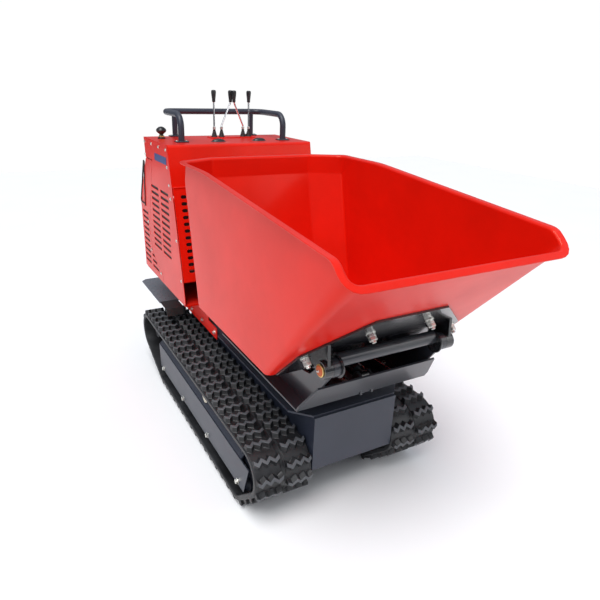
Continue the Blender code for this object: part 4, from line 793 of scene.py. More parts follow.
def guide(name, settings):
    """A guide block on the belt's inside."""
    bm = bmesh.new()
    rings = []
    for w, d, z in ((0.017, 0.012, 0.001), (0.015, 0.010, -0.006), (0.010, 0.006, -0.014)):
        rings.append([bm.verts.new((sx * w, sy * d, z - settings.thickness)) for sx, sy in
                      ((-1, -1), (1, -1), (1, 1), (-1, 1))])
    for a, b in zip(rings, rings[1:]):
        for k in range(4):
            n = (k + 1) % 4
            bm.faces.new((a[k], a[n], b[n], b[k]))
    bm.faces.new(rings[-1])
    bm.faces.new(list(reversed(rings[0])))
    return from_bmesh(name, bm)


def tread_tree():
    """Spaces tread bars round a closed line, in two staggered columns, with a guide block inside each pitch."""
    name = "dumper_tread"
    if name in bpy.data.node_groups:
        return bpy.data.node_groups[name]
    tree, given, out = group_tree(name, "GeometryNodeTree", [
        ("Geometry", "NodeSocketGeometry", None), ("Outer Bar", "NodeSocketObject", None),
        ("Inner Bar", "NodeSocketObject", None), ("Guide", "NodeSocketObject", None),
        ("Pitches", "NodeSocketInt", 60), ("Column", "NodeSocketFloat", 0.065),
        ("Material", "NodeSocketMaterial", None), ("Worn Material", "NodeSocketMaterial", None)],
        [("Geometry", "NodeSocketGeometry")])
    curve = add(tree, "GeometryNodeMeshToCurve", {"Mesh": given["Geometry"]}).outputs[0]
    doubled = math_node(tree, "MULTIPLY", given["Pitches"], 2.0)
    spaced = add(tree, "GeometryNodeResampleCurve", {"Curve": curve, "Count": doubled}, mode="COUNT").outputs[0]
    tangent = add(tree, "GeometryNodeInputTangent").outputs[0]
    turn = add(tree, "FunctionNodeAlignRotationToVector", {"Vector": tangent}, axis="Y", pivot_axis="X").outputs[0]
    index = add(tree, "GeometryNodeInputIndex").outputs[0]
    odd = math_node(tree, "MODULO", index, 2.0)
    even = math_node(tree, "SUBTRACT", 1.0, odd)
    both = add(tree, "GeometryNodeJoinGeometry")
    shift = add(tree, "ShaderNodeCombineXYZ", {"X": given["Column"]}).outputs[0]
    back = add(tree, "ShaderNodeVectorMath", {0: shift, "Scale": -1.0}, operation="SCALE").outputs[0]
    zero = add(tree, "ShaderNodeCombineXYZ").outputs[0]
    for label, chosen, offset in (("Outer Bar", odd, shift), ("Inner Bar", even, back), ("Guide", even, zero)):
        piece = add(tree, "GeometryNodeObjectInfo", {"Object": given[label]}).outputs["Geometry"]
        copies = add(tree, "GeometryNodeInstanceOnPoints", {"Points": spaced, "Selection": chosen, "Instance": piece,
                                                            "Rotation": turn}).outputs[0]
        moved = add(tree, "GeometryNodeTranslateInstances", {"Instances": copies, "Translation": offset,
                                                             "Local Space": True}).outputs[0]
        tree.links.new(moved, both.inputs[0])
    real = add(tree, "GeometryNodeRealizeInstances", {0: both.outputs[0]}).outputs[0]
    painted = add(tree, "GeometryNodeSetMaterial", {"Geometry": real, "Material": given["Material"]}).outputs[0]
    # The bar tops take the lighter rubber: wear plus a painted sheen.
    worn = add(tree, "GeometryNodeInputNamedAttribute", {"Name": "worn"}, data_type="BOOLEAN").outputs[0]
    sheen_and_wear_tops = add(tree, "GeometryNodeSetMaterial", {"Geometry": painted, "Selection": worn,
                                                    "Material": given["Worn Material"]}).outputs[0]
    tree.links.new(sheen_and_wear_tops, out["Geometry"])
    return tree


def track_wheels(side, settings):
    """The wheels that bound the belt's outer face, from the boxes of the CAD nodes."""
    tag = "left" if side > 0 else "right"
    drop = settings.lug_height
    wheels = []
    low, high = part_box("idler_" + tag)
    grow_by = settings.thickness + settings.seat
    idler = ((low.y + high.y) / 2, (low.z + high.z) / 2, (high.z - low.z) / 2 + grow_by)
    low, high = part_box("sprocket_" + tag)
    drive = ((low.y + high.y) / 2, idler[1], idler[2])
    radius = settings.roller_tip - drop - settings.ease
    wheels = [idler, drive, (settings.rear_roller, settings.roller_tip, radius),
              (settings.front_roller, settings.roller_tip, radius)]
    return wheels


def make_tracks(settings):
    """Both rubber tracks: a plain belt with tread bars and guides grown round it."""
    for side in (1, -1):
        tag = "left" if side > 0 else "right"
        low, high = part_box("track_" + tag)
        x = (low.x + high.x) / 2
        wheels = track_wheels(side, settings)
        belt = belt_body("belt_" + tag, x, wheels, settings)
        line = [(x, *(centre + normal * radius)) for centre, radius, normal in loop_parts(wheels)]
        loop = from_lists("tread_" + tag, line, edges=[(k, (k + 1) % len(line)) for k in range(len(line))])
        around = sum((Vector(line[k]) - Vector(line[k - 1])).length for k in range(len(line)))
        bars = [lug("bar_a", settings, side < 0), lug("bar_b", settings, side > 0), guide("guide", settings)]
        grow(loop, tread_tree(), Outer_Bar=bars[0], Inner_Bar=bars[1], Guide=bars[2],
             Pitches=round(around / settings.tread_pitch), Column=side * settings.column,
             Material=finish("rubber"), Worn_Material=finish("worn_sheen_rubber"))
        for bar in bars:
            bpy.data.objects.remove(bar, do_unlink=True)
        smooth(loop, 30)
        made = join("rubber_track_" + tag, [belt, loop])
        settle(made, "chassis", ["track_" + tag])


# ---- engine housing -----------------------------------------------------------------------
def front_line(z, settings):
    """Where the leaning front of the housing is at a height."""
    return settings.front_top - settings.front_slope * (settings.top - z)


def side_joint(shift=0.0):
    """The wavy line between the front and rear side panels, bottom to top."""
    line = through([(0.616, 0, 0.625), (0.628, 0, 0.672), (0.737, 0, 0.712), (0.812, 0, 0.780), (0.840, 0, 0.900),
                    (0.800, 0, 1.020), (0.705, 0, 1.290)], 5)
    return [(p.x + shift, p.z) for p in line]


def side_skins(side, settings):
    """Both panels of one side with their louvres, a dark sheet behind them as painted shade for the inside, the trim
    and the blank plate.
    """
    tag = "left" if side > 0 else "right"
    x, foot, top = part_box("side_panel_front_left")[1].x, settings.foot, settings.top
    edge = x if side > 0 else -x + settings.sheet
    place = Matrix.Translation((edge, 0, 0)) @ SIDEWAYS
    toe_z = 0.660
    toe_y = front_line(toe_z, settings)
    front = [(toe_y, foot), (toe_y, toe_z), (settings.front_top, top - 0.004), (settings.front_top + 0.004, top),
             (settings.top_rear - 0.003, top), (settings.top_rear, top - 0.003), (0.832, 1.292), (0.705, 1.292)]
    outline = front + list(reversed(side_joint()[:-1]))
    slots = []
    for row in range(settings.rows):
        z = settings.slot_top - row * settings.slot_pitch
        slots += [(settings.column_a, z), (settings.column_b, z)]
    size = (settings.slot_length, settings.slot_height)
    skin = pierced_sheet("side_skin_front_" + tag, outline, slots, size, 0.004, settings.sheet, place, "red")
    settle(skin, "chassis", ["side_panel_front_" + tag])
    gap = settings.seam
    rear = [(y + gap, z) for y, z in side_joint()[:-1]] + [(0.706 + gap, 1.290 - gap), (0.831, 1.290 - gap)]
    rear += [(settings.rear_top, settings.rear_top_z), (settings.rear_foot, foot)]
    slots = [(settings.column_c, settings.slot_c_top - k * settings.slot_pitch, 0.82) for k in range(settings.rows_c)]
    slots += [(0.800, 0.735, 0.36), (0.780, 0.702, 0.62), (0.760, 0.669, 0.90)]
    skin = pierced_sheet("side_skin_rear_" + tag, rear, slots, size, 0.004, settings.sheet, place, "red")
    settle(skin, "chassis", ["side_panel_rear_" + tag])
    # A dark sheet just inside the panel, so the slots show painted shade.
    inner = side * (x - settings.sheet - 0.0025)
    back = [(0.300, 0.640), (0.410, 1.180), (0.700, 1.230), (0.850, 1.020), (1.000, 1.020), (0.980, 0.632)]
    shade_lining = prism("side_lining_" + tag, back, 0.003, Matrix.Translation((inner, 0, 0)) @ SIDEWAYS, "soft_rubber")
    settle(shade_lining, "chassis")
    trim = [(side * (x + 0.001), y, z) for y, z in ((0.872, 1.262), (0.905, 1.028), (0.912, 1.018), (0.985, 1.018),
                                                     (0.992, 1.026), (0.985, 1.050), (0.882, 1.265))]
    settle(rod("wedge_trim_" + tag, through(trim, 3), 0.0042, "soft_rubber", 2, True), "chassis")
    plate_x = side * (x + SKIN)
    plate = slab("side_plate_" + tag, (plate_x - 0.0008, 0.442, 1.299), (plate_x + 0.0008, 0.648, 1.335), "blue_plate",
                 0.0005)
    settle(plate, "chassis")


def sheet_band(name, line, half_width, sheet, material):
    """A sheet that spans the housing along a line in (y, z), with its outside on the line's left."""
    points = []
    count = len(line)
    for y, z in line:
        points += [(-half_width, y, z), (half_width, y, z)]
    faces = [(2 * k, 2 * k + 1, 2 * k + 3, 2 * k + 2) for k in range(count - 1)]
    obj = from_lists(name, points, faces)
    modifier(obj, "SOLIDIFY", thickness=sheet, offset=-1.0, use_even_offset=True)
    bake(obj)
    smooth(obj, 30)
    modifier(obj, "WEIGHTED_NORMAL", keep_sharp=True)
    bake(obj)
    return paint(obj, material)


def arc(centre, radius, start, end, steps=6):
    return [(centre[0] + radius * math.cos(math.radians(start + (end - start) * k / steps)),
             centre[1] + radius * math.sin(math.radians(start + (end - start) * k / steps))) for k in range(steps + 1)]


def make_hood(settings):
    """The hood with its rounded front edge and ledge, and the sloping console behind it."""
    low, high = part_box("hood")
    half = high.x
    r = settings.crown
    top = settings.top
    lean = math.degrees(math.atan(settings.front_slope))
    centre = (front_line(top - r, settings) + r * math.cos(math.radians(lean)), top - r)
    line = [(front_line(low.z, settings), low.z)]
    line += arc(centre, r, 180 - lean, 90)
    line += [(settings.top_rear - 0.006, top), (settings.top_rear - 0.002, top - 0.002),
             (settings.top_rear, top - 0.006)]
    line += [(0.8315, 1.296)]
    hood = sheet_band("hood_sheet", line, half, settings.sheet, "red")
    strip = slab("hood_ledge", (-half, front_line(low.z, settings) - 0.012, low.z),
                 (half, front_line(low.z, settings) + 0.02, low.z + 0.0035), "red", 0.0008)
    hood = join("hood_sheet", [hood, strip])
    settle(hood, "chassis", ["hood"])
    console = [(0.8305, 1.292), (0.8315, 1.286)]
    console += [(0.8345, 1.280), (settings.rear_top - 0.006, settings.rear_top_z + 0.008),
                (settings.rear_top - 0.001, settings.rear_top_z)]
    panel = sheet_band("console_sheet", console, half, settings.sheet, "red")
    settle(panel, "chassis", ["console"])


def make_grille(settings):
    """The pierced sheet at the front of the housing, with a dark sheet behind it as painted shade for the inside, and
    its clips.
    """
    low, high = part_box("grille_panel")
    half = high.x
    foot = Vector((0, front_line(low.z, settings) - settings.proud, low.z))
    crest = Vector((0, front_line(high.z, settings) - settings.proud, high.z))
    up = (crest - foot).normalized()
    outward = Vector((1, 0, 0)).cross(up)
    turn = Matrix((Vector((1, 0, 0)), up, outward)).transposed().to_4x4()
    tall = (crest - foot).length
    outline = [(-half, 0), (half, 0), (half, tall), (-half, tall)]
    columns, rows = settings.hole_columns, settings.hole_rows
    step = 2 * settings.hole_reach / (columns - 1)
    holes = [(-settings.hole_reach + i * step, tall - 0.045 - j * settings.hole_pitch) for i in range(columns)
             for j in range(rows)]
    size = (settings.hole_width, settings.hole_height)
    skin = pierced_sheet("grille_sheet", outline, holes, size, settings.hole_height * 0.48, settings.sheet,
                         Matrix.Translation(foot) @ turn, "red")
    ledge = prism("grille_ledge", [(0, 0), (0.006, 0.0), (0.006, 0.0025), (0, 0.0025)], 2 * half,
                  Matrix.Translation((0, crest.y, crest.z - 0.0025)) @ SIDEWAYS, "red")
    skin = join("grille_sheet", [skin, ledge])
    settle(skin, "chassis", ["grille_panel"])
    # A dark sheet behind the grille, so its holes show painted shade.
    inside = settings.proud + 0.004
    shade_lining = prism("grille_lining", [(-half + 0.01, 0.01), (half - 0.01, 0.01), (half - 0.01, tall - 0.01),
                                     (-half + 0.01, tall - 0.01)], 0.004,
                   Matrix.Translation(foot - outward * (inside + 0.004)) @ turn, "soft_rubber")
    settle(shade_lining, "chassis")
    rolls = []
    for k, (x, share) in enumerate(((-0.352, 0.36), (-0.350, 0.13), (-0.349, 0.06))):
        place = foot + up * (tall * share) - outward * 0.012
        rolls.append(lathe(f"clip_{k}", [(0.003, -0.012), (0.007, -0.010), (0.007, 0.010), (0.003, 0.012)],
                           Matrix.Translation(place + Vector((x, 0, 0))) @ SIDEWAYS, "zinc", 12))
    settle(join("grille_clips", rolls), "chassis")


def make_rear(settings):
    """The service door with its louvres, hinges and latch, and the instrument plate above it."""
    low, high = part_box("rear_door")
    half = settings.door_half
    tall = high.z - low.z
    slope = (settings.rear_top - settings.rear_foot) / (settings.rear_top_z - settings.foot)
    foot = Vector((0, settings.rear_foot + slope * (low.z - settings.foot), low.z))
    up = Vector((0, slope, 1)).normalized()
    outward = -Vector((1, 0, 0)).cross(up)
    turn = Matrix((Vector((-1, 0, 0)), up, outward)).transposed().to_4x4()
    outline = [(-half, 0), (half, 0), (half, tall), (-half, tall)]
    slots = []
    for row in range(6):
        slots += [(x, tall * 0.30 + row * settings.slot_pitch, 1.0) for x in (-0.20, 0.0, 0.20)]
    skin = pierced_sheet("door_sheet", outline, slots, (0.150, 0.012), 0.005, settings.sheet,
                         Matrix.Translation(foot) @ turn, "red")
    rim = settings.sheet
    frame_parts = [skin]
    for k, (u0, u1, v0, v1) in enumerate(((-half, half, 0, 0.012), (-half, half, tall - 0.012, tall),
                                          (-half, -half + 0.012, 0.012, tall - 0.012),
                                          (half - 0.012, half, 0.012, tall - 0.012))):
        strip = prism(f"door_rim_{k}", [(u0, v0), (u1, v0), (u1, v1), (u0, v1)], 0.008,
                      Matrix.Translation(foot - outward * (rim + 0.004)) @ turn, "red")
        frame_parts.append(strip)
    # A dark sheet behind the door, so its louvres show painted shade.
    back = prism("door_back", [(-half + 0.02, 0.02), (half - 0.02, 0.02), (half - 0.02, tall - 0.02),
                               (-half + 0.02, tall - 0.02)], 0.002, Matrix.Translation(foot - outward * 0.010) @ turn,
                 "soft_rubber")
    frame_parts.append(back)
    grip = foot + up * (tall * 0.78) + Vector((-half + 0.05, 0, 0))
    latch = lathe("door_latch", [(0.026, -0.001), (0.026, 0.004), (0.022, 0.007), (0.008, 0.008), (0.008, 0.014),
                                 (0.006, 0.016)], facing(outward, grip), "plastic", 20)
    frame_parts.append(latch)
    hinge_turn = Matrix((Vector((1, 0, 0)), outward, up)).transposed().to_4x4()
    strap = [(0.320, -0.0003), (0.386, -0.0003), (0.400, 0.004), (0.404, 0.009), (0.400, 0.014), (0.384, 0.0036),
             (0.320, 0.0032)]
    for k, z in enumerate((0.720, 0.940)):
        place = Matrix.Translation(foot + up * ((z - low.z) / up.z)) @ hinge_turn
        frame_parts.append(prism(f"strap_{k}", strap, 0.036, place, "red"))
        knuckle = [(0.005, -0.0250), (0.006, -0.0240), (0.006, 0.0240), (0.005, 0.0250)]
        frame_parts.append(lathe(f"knuckle_{k}", knuckle, place @ Matrix.Translation((0.400, 0.009, 0)), "zinc", 16))
    settle(join("service_door", frame_parts), "rear_door", ["rear_door"])
    up_slope = Vector((0, 0.8345 - settings.rear_top, 1.280 - settings.rear_top_z)).normalized()
    normal = Vector((1, 0, 0)).cross(up_slope)
    normal = normal if normal.y > 0 else -normal
    middle = Vector((0.0, (0.8345 + settings.rear_top) / 2, (1.280 + settings.rear_top_z) / 2)) + normal * 0.0032
    turn = Matrix((up_slope.cross(normal), up_slope, normal)).transposed().to_4x4()
    face = [(-0.150, -0.075), (0.150, -0.075), (0.150, 0.075), (-0.150, 0.075)]
    parts = [prism("instrument_plate", face, 0.003, Matrix.Translation(middle) @ turn, "plastic", 0.0008)]
    for k, (u, v, radius) in enumerate(((-0.090, 0.020, 0.028), (-0.015, 0.025, 0.020), (0.050, 0.030, 0.010),
                                        (0.085, 0.030, 0.010), (0.120, 0.030, 0.010), (0.060, -0.030, 0.013))):
        place = middle + turn.to_3x3() @ Vector((u, v, 0.0015))
        profile = [(radius, 0.0), (radius, 0.004), (radius * 0.86, 0.006), (radius * 0.80, 0.003), (0.002, 0.003)]
        parts.append(lathe(f"dial_{k}", profile, facing(normal, place), "chrome" if k < 2 else "plastic", 20))
    settle(join("instrument_plate", parts), "chassis")


def make_housing(settings):
    for side in (1, -1):
        side_skins(side, settings)
    make_hood(settings)
    make_grille(settings)
    make_rear(settings)


# ---- controls and rail --------------------------------------------------------------------
def make_rail(settings):
    """The bent guard rail with its posts, feet and bolts."""
    low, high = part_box("guard_rail")
    radius = settings.rail_radius
    x = high.x - radius
    foot, top = low.z, high.z - radius
    front, back = settings.rail_front, high.y - radius
    bend = settings.rail_bend

    def quarter(centre, start, end, steps=7):
        return [Vector(centre) + Vector(start) * math.cos(math.pi / 2 * k / steps)
                + Vector(end) * math.sin(math.pi / 2 * k / steps) for k in range(steps + 1)]

    half = [Vector((x, front, foot))]
    half += quarter((x, front + bend, top - bend), (0, -bend, 0), (0, 0, bend))
    half += quarter((x - bend, back - bend, top), (bend, 0, 0), (0, bend, 0))
    route = half + [Vector((-p.x, p.y, p.z)) for p in reversed(half)]
    parts = [rod("rail_tube", route, radius, "blue_grey", 5)]
    for k, px in enumerate((-x + bend, x - bend)):
        parts.append(rod(f"rail_post_{k}", [(px, back, foot), (px, back, top - radius * 0.4)], radius * 0.92,
                         "blue_grey", 5))
    for k, (px, py) in enumerate(((x, front), (-x, front), (-x + bend, back), (x - bend, back))):
        parts.append(slab(f"rail_foot_{k}", (px - 0.032, py - 0.024, foot), (px + 0.032, py + 0.024, foot + 0.005),
                          "blue_grey", 0.0012))
    settle(join("rail", parts), "chassis", ["guard_rail"])
    bolts = []
    for px, py in ((x, front), (-x, front), (-x + bend, back), (x - bend, back)):
        bolts += [((px + dx, py, foot + 0.005), (0, 0, 1)) for dx in (-0.025, 0.025)]
    settle(scatter("rail_bolts", bolts, button_bolt(0.007), "zinc"), "chassis")


def make_levers(settings):
    """Four hand levers, each with bellows, a nut, a bright rod and a grip."""
    low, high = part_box("control_levers")
    foot, top = low.z, high.z
    y = (low.y + high.y) / 2
    spread = (-0.040, 0.003, 0.133, 0.168)
    lean = ((0.0, 0.0), (0.061, 0.014), (-0.060, -0.014), (0.0, 0.0))
    parts = [slab("lever_plate", (low.x, low.y, foot), (high.x, high.y, foot + 0.004), "red", 0.001)]
    for k, (x, shift) in enumerate(zip(spread, lean)):
        fold = [(0.0165, 0.0)]
        for ring in range(4):
            r = 0.0165 - ring * 0.0022
            z = 0.004 + ring * 0.008
            fold += [(r, z), (r - 0.0032, z + 0.004)]
        fold += [(0.0085, 0.037), (0.0060, 0.040)]
        parts.append(lathe(f"bellows_{k}", fold, Matrix.Translation((x, y, foot + 0.004)), "soft_rubber", 18))
        neck = Vector((x + shift[0], y + shift[1], top - settings.grip))
        joint = Vector((x, y, foot + 0.062))
        parts.append(lathe(f"nut_{k}", [(0.0085, 0.0), (0.0085, 0.010), (0.006, 0.012)],
                           Matrix.Translation((x, y, foot + 0.046)), "zinc", 6))
        line = [Vector((x, y, foot + 0.030)), joint]
        line += [joint.lerp(neck, t) for t in (0.06, 0.5, 0.94)]
        line += [neck + Vector((0, 0, 0.004))]
        parts.append(rod(f"lever_{k}", line, 0.0048, "chrome", 3))
        h = settings.grip
        shape = [(0.0062, 0.0), (0.0088, 0.002), (0.0092, h * 0.22), (0.0118, h * 0.55), (0.0132, h * 0.82),
                 (0.0122, h * 0.94), (0.0085, h * 0.99), (0.003, h)]
        parts.append(lathe(f"grip_{k}", shape, Matrix.Translation(neck), "plastic", 20))
    settle(join("hand_levers", parts), "chassis", ["control_levers"])


def oval(name, centre, size, height, material):
    """A low oval dome."""
    points, faces, sides, rings = [], [], 28, 6
    for r in range(rings):
        a = math.pi / 2 * r / rings
        for k in range(sides):
            t = math.tau * k / sides
            points.append((centre[0] + size[0] * math.cos(a) * math.cos(t),
                           centre[1] + size[1] * math.cos(a) * math.sin(t), centre[2] + height * math.sin(a)))
    points.append((centre[0], centre[1], centre[2] + height))
    for r in range(rings - 1):
        for k in range(sides):
            n = (k + 1) % sides
            faces.append((r * sides + k, r * sides + n, (r + 1) * sides + n, (r + 1) * sides + k))
    last = (rings - 1) * sides
    faces += [(last + k, last + (k + 1) % sides, rings * sides) for k in range(sides)]
    faces.append(tuple(reversed(range(sides))))
    return paint(smooth(from_lists(name, points, faces), 40), material)


def make_top_fittings():
    """The latches and the filler knob on the hood."""
    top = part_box("hood")[1].z
    parts = []
    for k, (x, y) in enumerate(((-0.094, 0.525), (0.144, 0.532))):
        parts.append(oval(f"latch_{k}", (x, y, top + 0.001), (0.036, 0.020), 0.014, "plastic"))
        parts.append(oval(f"latch_rim_{k}", (x, y, top), (0.042, 0.025), 0.004, "iron"))
    x, y = -0.338, 0.725
    knob = [(0.020, 0.0), (0.020, 0.006), (0.012, 0.010), (0.010, 0.022), (0.014, 0.026), (0.024, 0.034),
            (0.027, 0.042), (0.024, 0.050), (0.014, 0.058), (0.006, 0.061)]
    parts.append(lathe("knob", knob, Matrix.Translation((x, y, top)), "plastic", 26))
    parts.append(lathe("knob_neck", [(0.015, 0.009), (0.015, 0.014), (0.013, 0.016)], Matrix.Translation((x, y, top)),
                       "gold", 20))
    settle(join("top_fittings", parts), "chassis")


def make_controls(settings):
    make_rail(settings)
    make_levers(settings)
    make_top_fittings()


# ---- hardware -----------------------------------------------------------------------------
def front_panel_place(x, up_share, off):
    """A place on the skip's front panel: x, distance up it, distance off it, and its outward direction."""
    return Vector((x, 0, 0)) + PANEL_FOOT + PANEL_UP * up_share + PANEL_OUT * off, PANEL_OUT


def make_bolts(settings):
    """The bolts of the panels, skirts, track guards, idlers and tilt frame."""
    size = settings.bolt
    panel_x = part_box("side_panel_front_left")[1].x
    spots = ((0.831, 1.374), (0.704, 1.374), (0.572, 1.372), (0.447, 1.372), (0.830, 1.308), (0.434, 1.289),
             (0.413, 1.205), (0.400, 1.141), (0.335, 0.943), (0.287, 0.744), (0.866, 0.920), (0.835, 0.760),
             (0.656, 0.668))
    places = [((side * panel_x, y, z), (side, 0, 0)) for side in (1, -1) for y, z in spots]
    settle(scatter("panel_bolts", places, button_bolt(size * 0.72), "zinc"), "chassis")
    skirt_x = 0.2795
    places = [((side * skirt_x, y, 0.490), (side, 0, 0)) for side in (1, -1) for y in (0.157, 0.334, 0.50, 0.66)]
    settle(scatter("skirt_bolts", places, hex_bolt(size), "zinc"), "chassis")
    guard_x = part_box("track_guard_left")[1].x
    rollers = [settings.front_roller + k * (settings.rear_roller - settings.front_roller) / 3 for k in range(4)]
    places = [((side * guard_x, y, 0.104), (side, 0, 0)) for side in (1, -1) for y in rollers]
    settle(scatter("guard_bolts", places, hex_bolt(size * 1.25), "zinc"), "chassis")
    idler_low, idler_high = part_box("idler_left")
    y, z = (idler_low.y + idler_high.y) / 2, (idler_low.z + idler_high.z) / 2
    places = [((side * (idler_high.x + 0.0085), y, z), (side, 0, 0)) for side in (1, -1)]
    places += [((side * (idler_low.x - 0.0085), y, z), (-side, 0, 0)) for side in (1, -1)]
    settle(scatter("idler_bolts", places, hex_bolt(size * 1.5), "zinc"), "chassis")
    places = []
    for x, up in ((0.330, 0.145), (0.130, 0.270)):
        places += [front_panel_place(side * x, up, 0.0083) for side in (1, -1)]
    settle(scatter("tilt_bolts", places, double_nut(size * 1.6), "zinc", 1.0, 5), "skip")


def make_hinges():
    """The visible ends of the hinge pins, and the collars of the bosses."""
    y, z = HINGE
    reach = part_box("hinge_pin_left")[1].x
    parts = []
    for k, side in enumerate((1, -1)):
        axis = facing((side, 0, 0), (side * (reach - 0.0075), y, z))
        parts.append(lathe(f"pin_{k}", [(0.0125, -0.066), (0.0125, -0.0005), (0.0240, 0.0), (0.0240, 0.0030),
                                        (0.0225, 0.0036)], axis, "gold", 28))
        parts.append(lathe(f"cap_{k}", [(0.0195, 0.003), (0.0195, 0.0052), (0.0160, 0.0064), (0.006, 0.0066)], axis,
                           "orange", 18))
        parts.append(lathe(f"nipple_{k}", [(0.0046, 0.006), (0.0046, 0.0090), (0.0030, 0.0100), (0.0042, 0.0125),
                                           (0.0018, 0.0150)], axis, "zinc", 10))
    made = join("hinge_pins", parts)
    settle(made, "skip", ["hinge_pin_left", "hinge_pin_right"])
    rings = []
    for k, side in enumerate((1, -1)):
        axis = facing((-side, 0, 0), (side * 0.2235, y, z))
        rings.append(lathe(f"collar_{k}", [(0.0345, -0.002), (0.0400, -0.001), (0.0415, 0.003), (0.0400, 0.0065),
                                           (0.030, 0.008)], axis, "black", 32))
    settle(join("hinge_collars", rings), "swivel")


def make_roller_caps():
    """The pale end caps of the top rollers."""
    caps = []
    for side, tag in ((1, "left"), (-1, "right")):
        low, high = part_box("track_" + tag)
        belt_x = (low.x + high.x) / 2
        place = facing((side, 0, 0), (belt_x + side * 0.0985, -0.100, 0.2917))
        caps.append(lathe("cap_" + tag, [(0.029, -0.001), (0.031, 0.002), (0.029, 0.005), (0.012, 0.0065)], place,
                          "cream", 28))
    settle(join("roller_caps", caps), "chassis")


def make_hardware(settings):
    make_bolts(settings)
    make_roller_caps()
    make_hinges()


# ---- swivel frame's fittings --------------------------------------------------------------
def make_swivel(settings):
    """Ribs, hoses and small bolts inside the turning tray."""
    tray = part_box("slew_ring_upper")[1].z + 0.0085
    parts = []
    for k, x in enumerate((-0.150, 0.150)):
        outline = [(-0.742, tray), (-0.420, tray), (-0.440, tray + 0.030), (-0.700, tray + 0.045),
                   (-0.742, tray + 0.045)]
        parts.append(prism(f"rib_{k}", outline, 0.008, Matrix.Translation((x, 0, 0)) @ SIDEWAYS, "black", 0.001))
    routes = (((-0.045, -0.690, tray + 0.020), (-0.060, -0.600, tray + 0.030), (-0.080, -0.450, tray + 0.020),
               (-0.060, -0.300, tray + 0.014), (-0.030, -0.235, tray - 0.004)),
              ((0.045, -0.690, tray + 0.020), (0.065, -0.590, tray + 0.034), (0.090, -0.460, tray + 0.018),
               (0.060, -0.320, tray + 0.014), (0.030, -0.235, tray - 0.004)))
    for k, route in enumerate(routes):
        parts.append(rod(f"hose_{k}", through(route, 6), settings.hose, "soft_rubber", 3))
        axis = facing(Vector(route[0]) - Vector(route[1]), route[0])
        parts.append(lathe(f"ferrule_{k}", [(0.0115, -0.022), (0.0115, 0.0), (0.0085, 0.002), (0.0085, 0.012)], axis,
                           "zinc", 12))
    settle(join("tray_fittings", parts), "swivel")
    places = [((x, y, tray), (0, 0, 1)) for x in (-0.215, -0.100, 0.100, 0.215) for y in (-0.700, -0.600)]
    settle(scatter("tray_bolts", places, hex_bolt(0.009), "zinc"), "swivel")


# ---- platform -----------------------------------------------------------------------------
def chequer_tree():
    """Raised bars in a diagonal chequer pattern over a rectangle."""
    name = "dumper_chequer"
    if name in bpy.data.node_groups:
        return bpy.data.node_groups[name]
    tree, given, out = group_tree(name, "GeometryNodeTree", [
        ("Geometry", "NodeSocketGeometry", None), ("Bar", "NodeSocketObject", None),
        ("Width", "NodeSocketFloat", 0.7), ("Depth", "NodeSocketFloat", 0.4), ("Pitch", "NodeSocketFloat", 0.028),
        ("Material", "NodeSocketMaterial", None)], [("Geometry", "NodeSocketGeometry")])
    across = math_node(tree, "ROUND", math_node(tree, "DIVIDE", given["Width"], given["Pitch"]), 0.0)
    along = math_node(tree, "ROUND", math_node(tree, "DIVIDE", given["Depth"], given["Pitch"]), 0.0)
    grid = add(tree, "GeometryNodeMeshGrid", {"Size X": given["Width"], "Size Y": given["Depth"], "Vertices X": across,
                                              "Vertices Y": along}).outputs[0]
    index = add(tree, "GeometryNodeInputIndex").outputs[0]
    row = math_node(tree, "FLOOR", math_node(tree, "DIVIDE", index, along), 0.0)
    column = math_node(tree, "MODULO", index, along)
    flip = math_node(tree, "MODULO", math_node(tree, "ADD", row, column), 2.0)
    angle = math_node(tree, "MULTIPLY_ADD", flip, math.pi / 2)
    angle.node.inputs[2].default_value = math.pi / 4
    turn = add(tree, "ShaderNodeCombineXYZ", {"Z": angle}).outputs[0]
    rotation = add(tree, "FunctionNodeEulerToRotation", {0: turn}).outputs[0]
    piece = add(tree, "GeometryNodeObjectInfo", {"Object": given["Bar"]}).outputs["Geometry"]
    copies = add(tree, "GeometryNodeInstanceOnPoints", {"Points": grid, "Instance": piece,
                                                        "Rotation": rotation}).outputs[0]
    real = add(tree, "GeometryNodeRealizeInstances", {0: copies}).outputs[0]
    painted = add(tree, "GeometryNodeSetMaterial", {"Geometry": real, "Material": given["Material"]}).outputs[0]
    tree.links.new(painted, out["Geometry"])
    return tree


def tread_bar():
    """One raised lens of the chequer plate."""
    line = [(-0.0120, 0.0), (-0.0060, -0.0026), (0.0, -0.0034), (0.0060, -0.0026), (0.0120, 0.0), (0.0060, 0.0026),
            (0.0, 0.0034), (-0.0060, 0.0026)]
    bm = bmesh.new()
    foot = [bm.verts.new((u, v, 0.0)) for u, v in line]
    crest = [bm.verts.new((u * 0.72, v * 0.55, 0.0014)) for u, v in line]
    for k in range(len(line)):
        n = (k + 1) % len(line)
        bm.faces.new((foot[k], foot[n], crest[n], crest[k]))
    bm.faces.new(crest)
    bm.faces.new(list(reversed(foot)))
    return from_bmesh("tread_bar", bm)


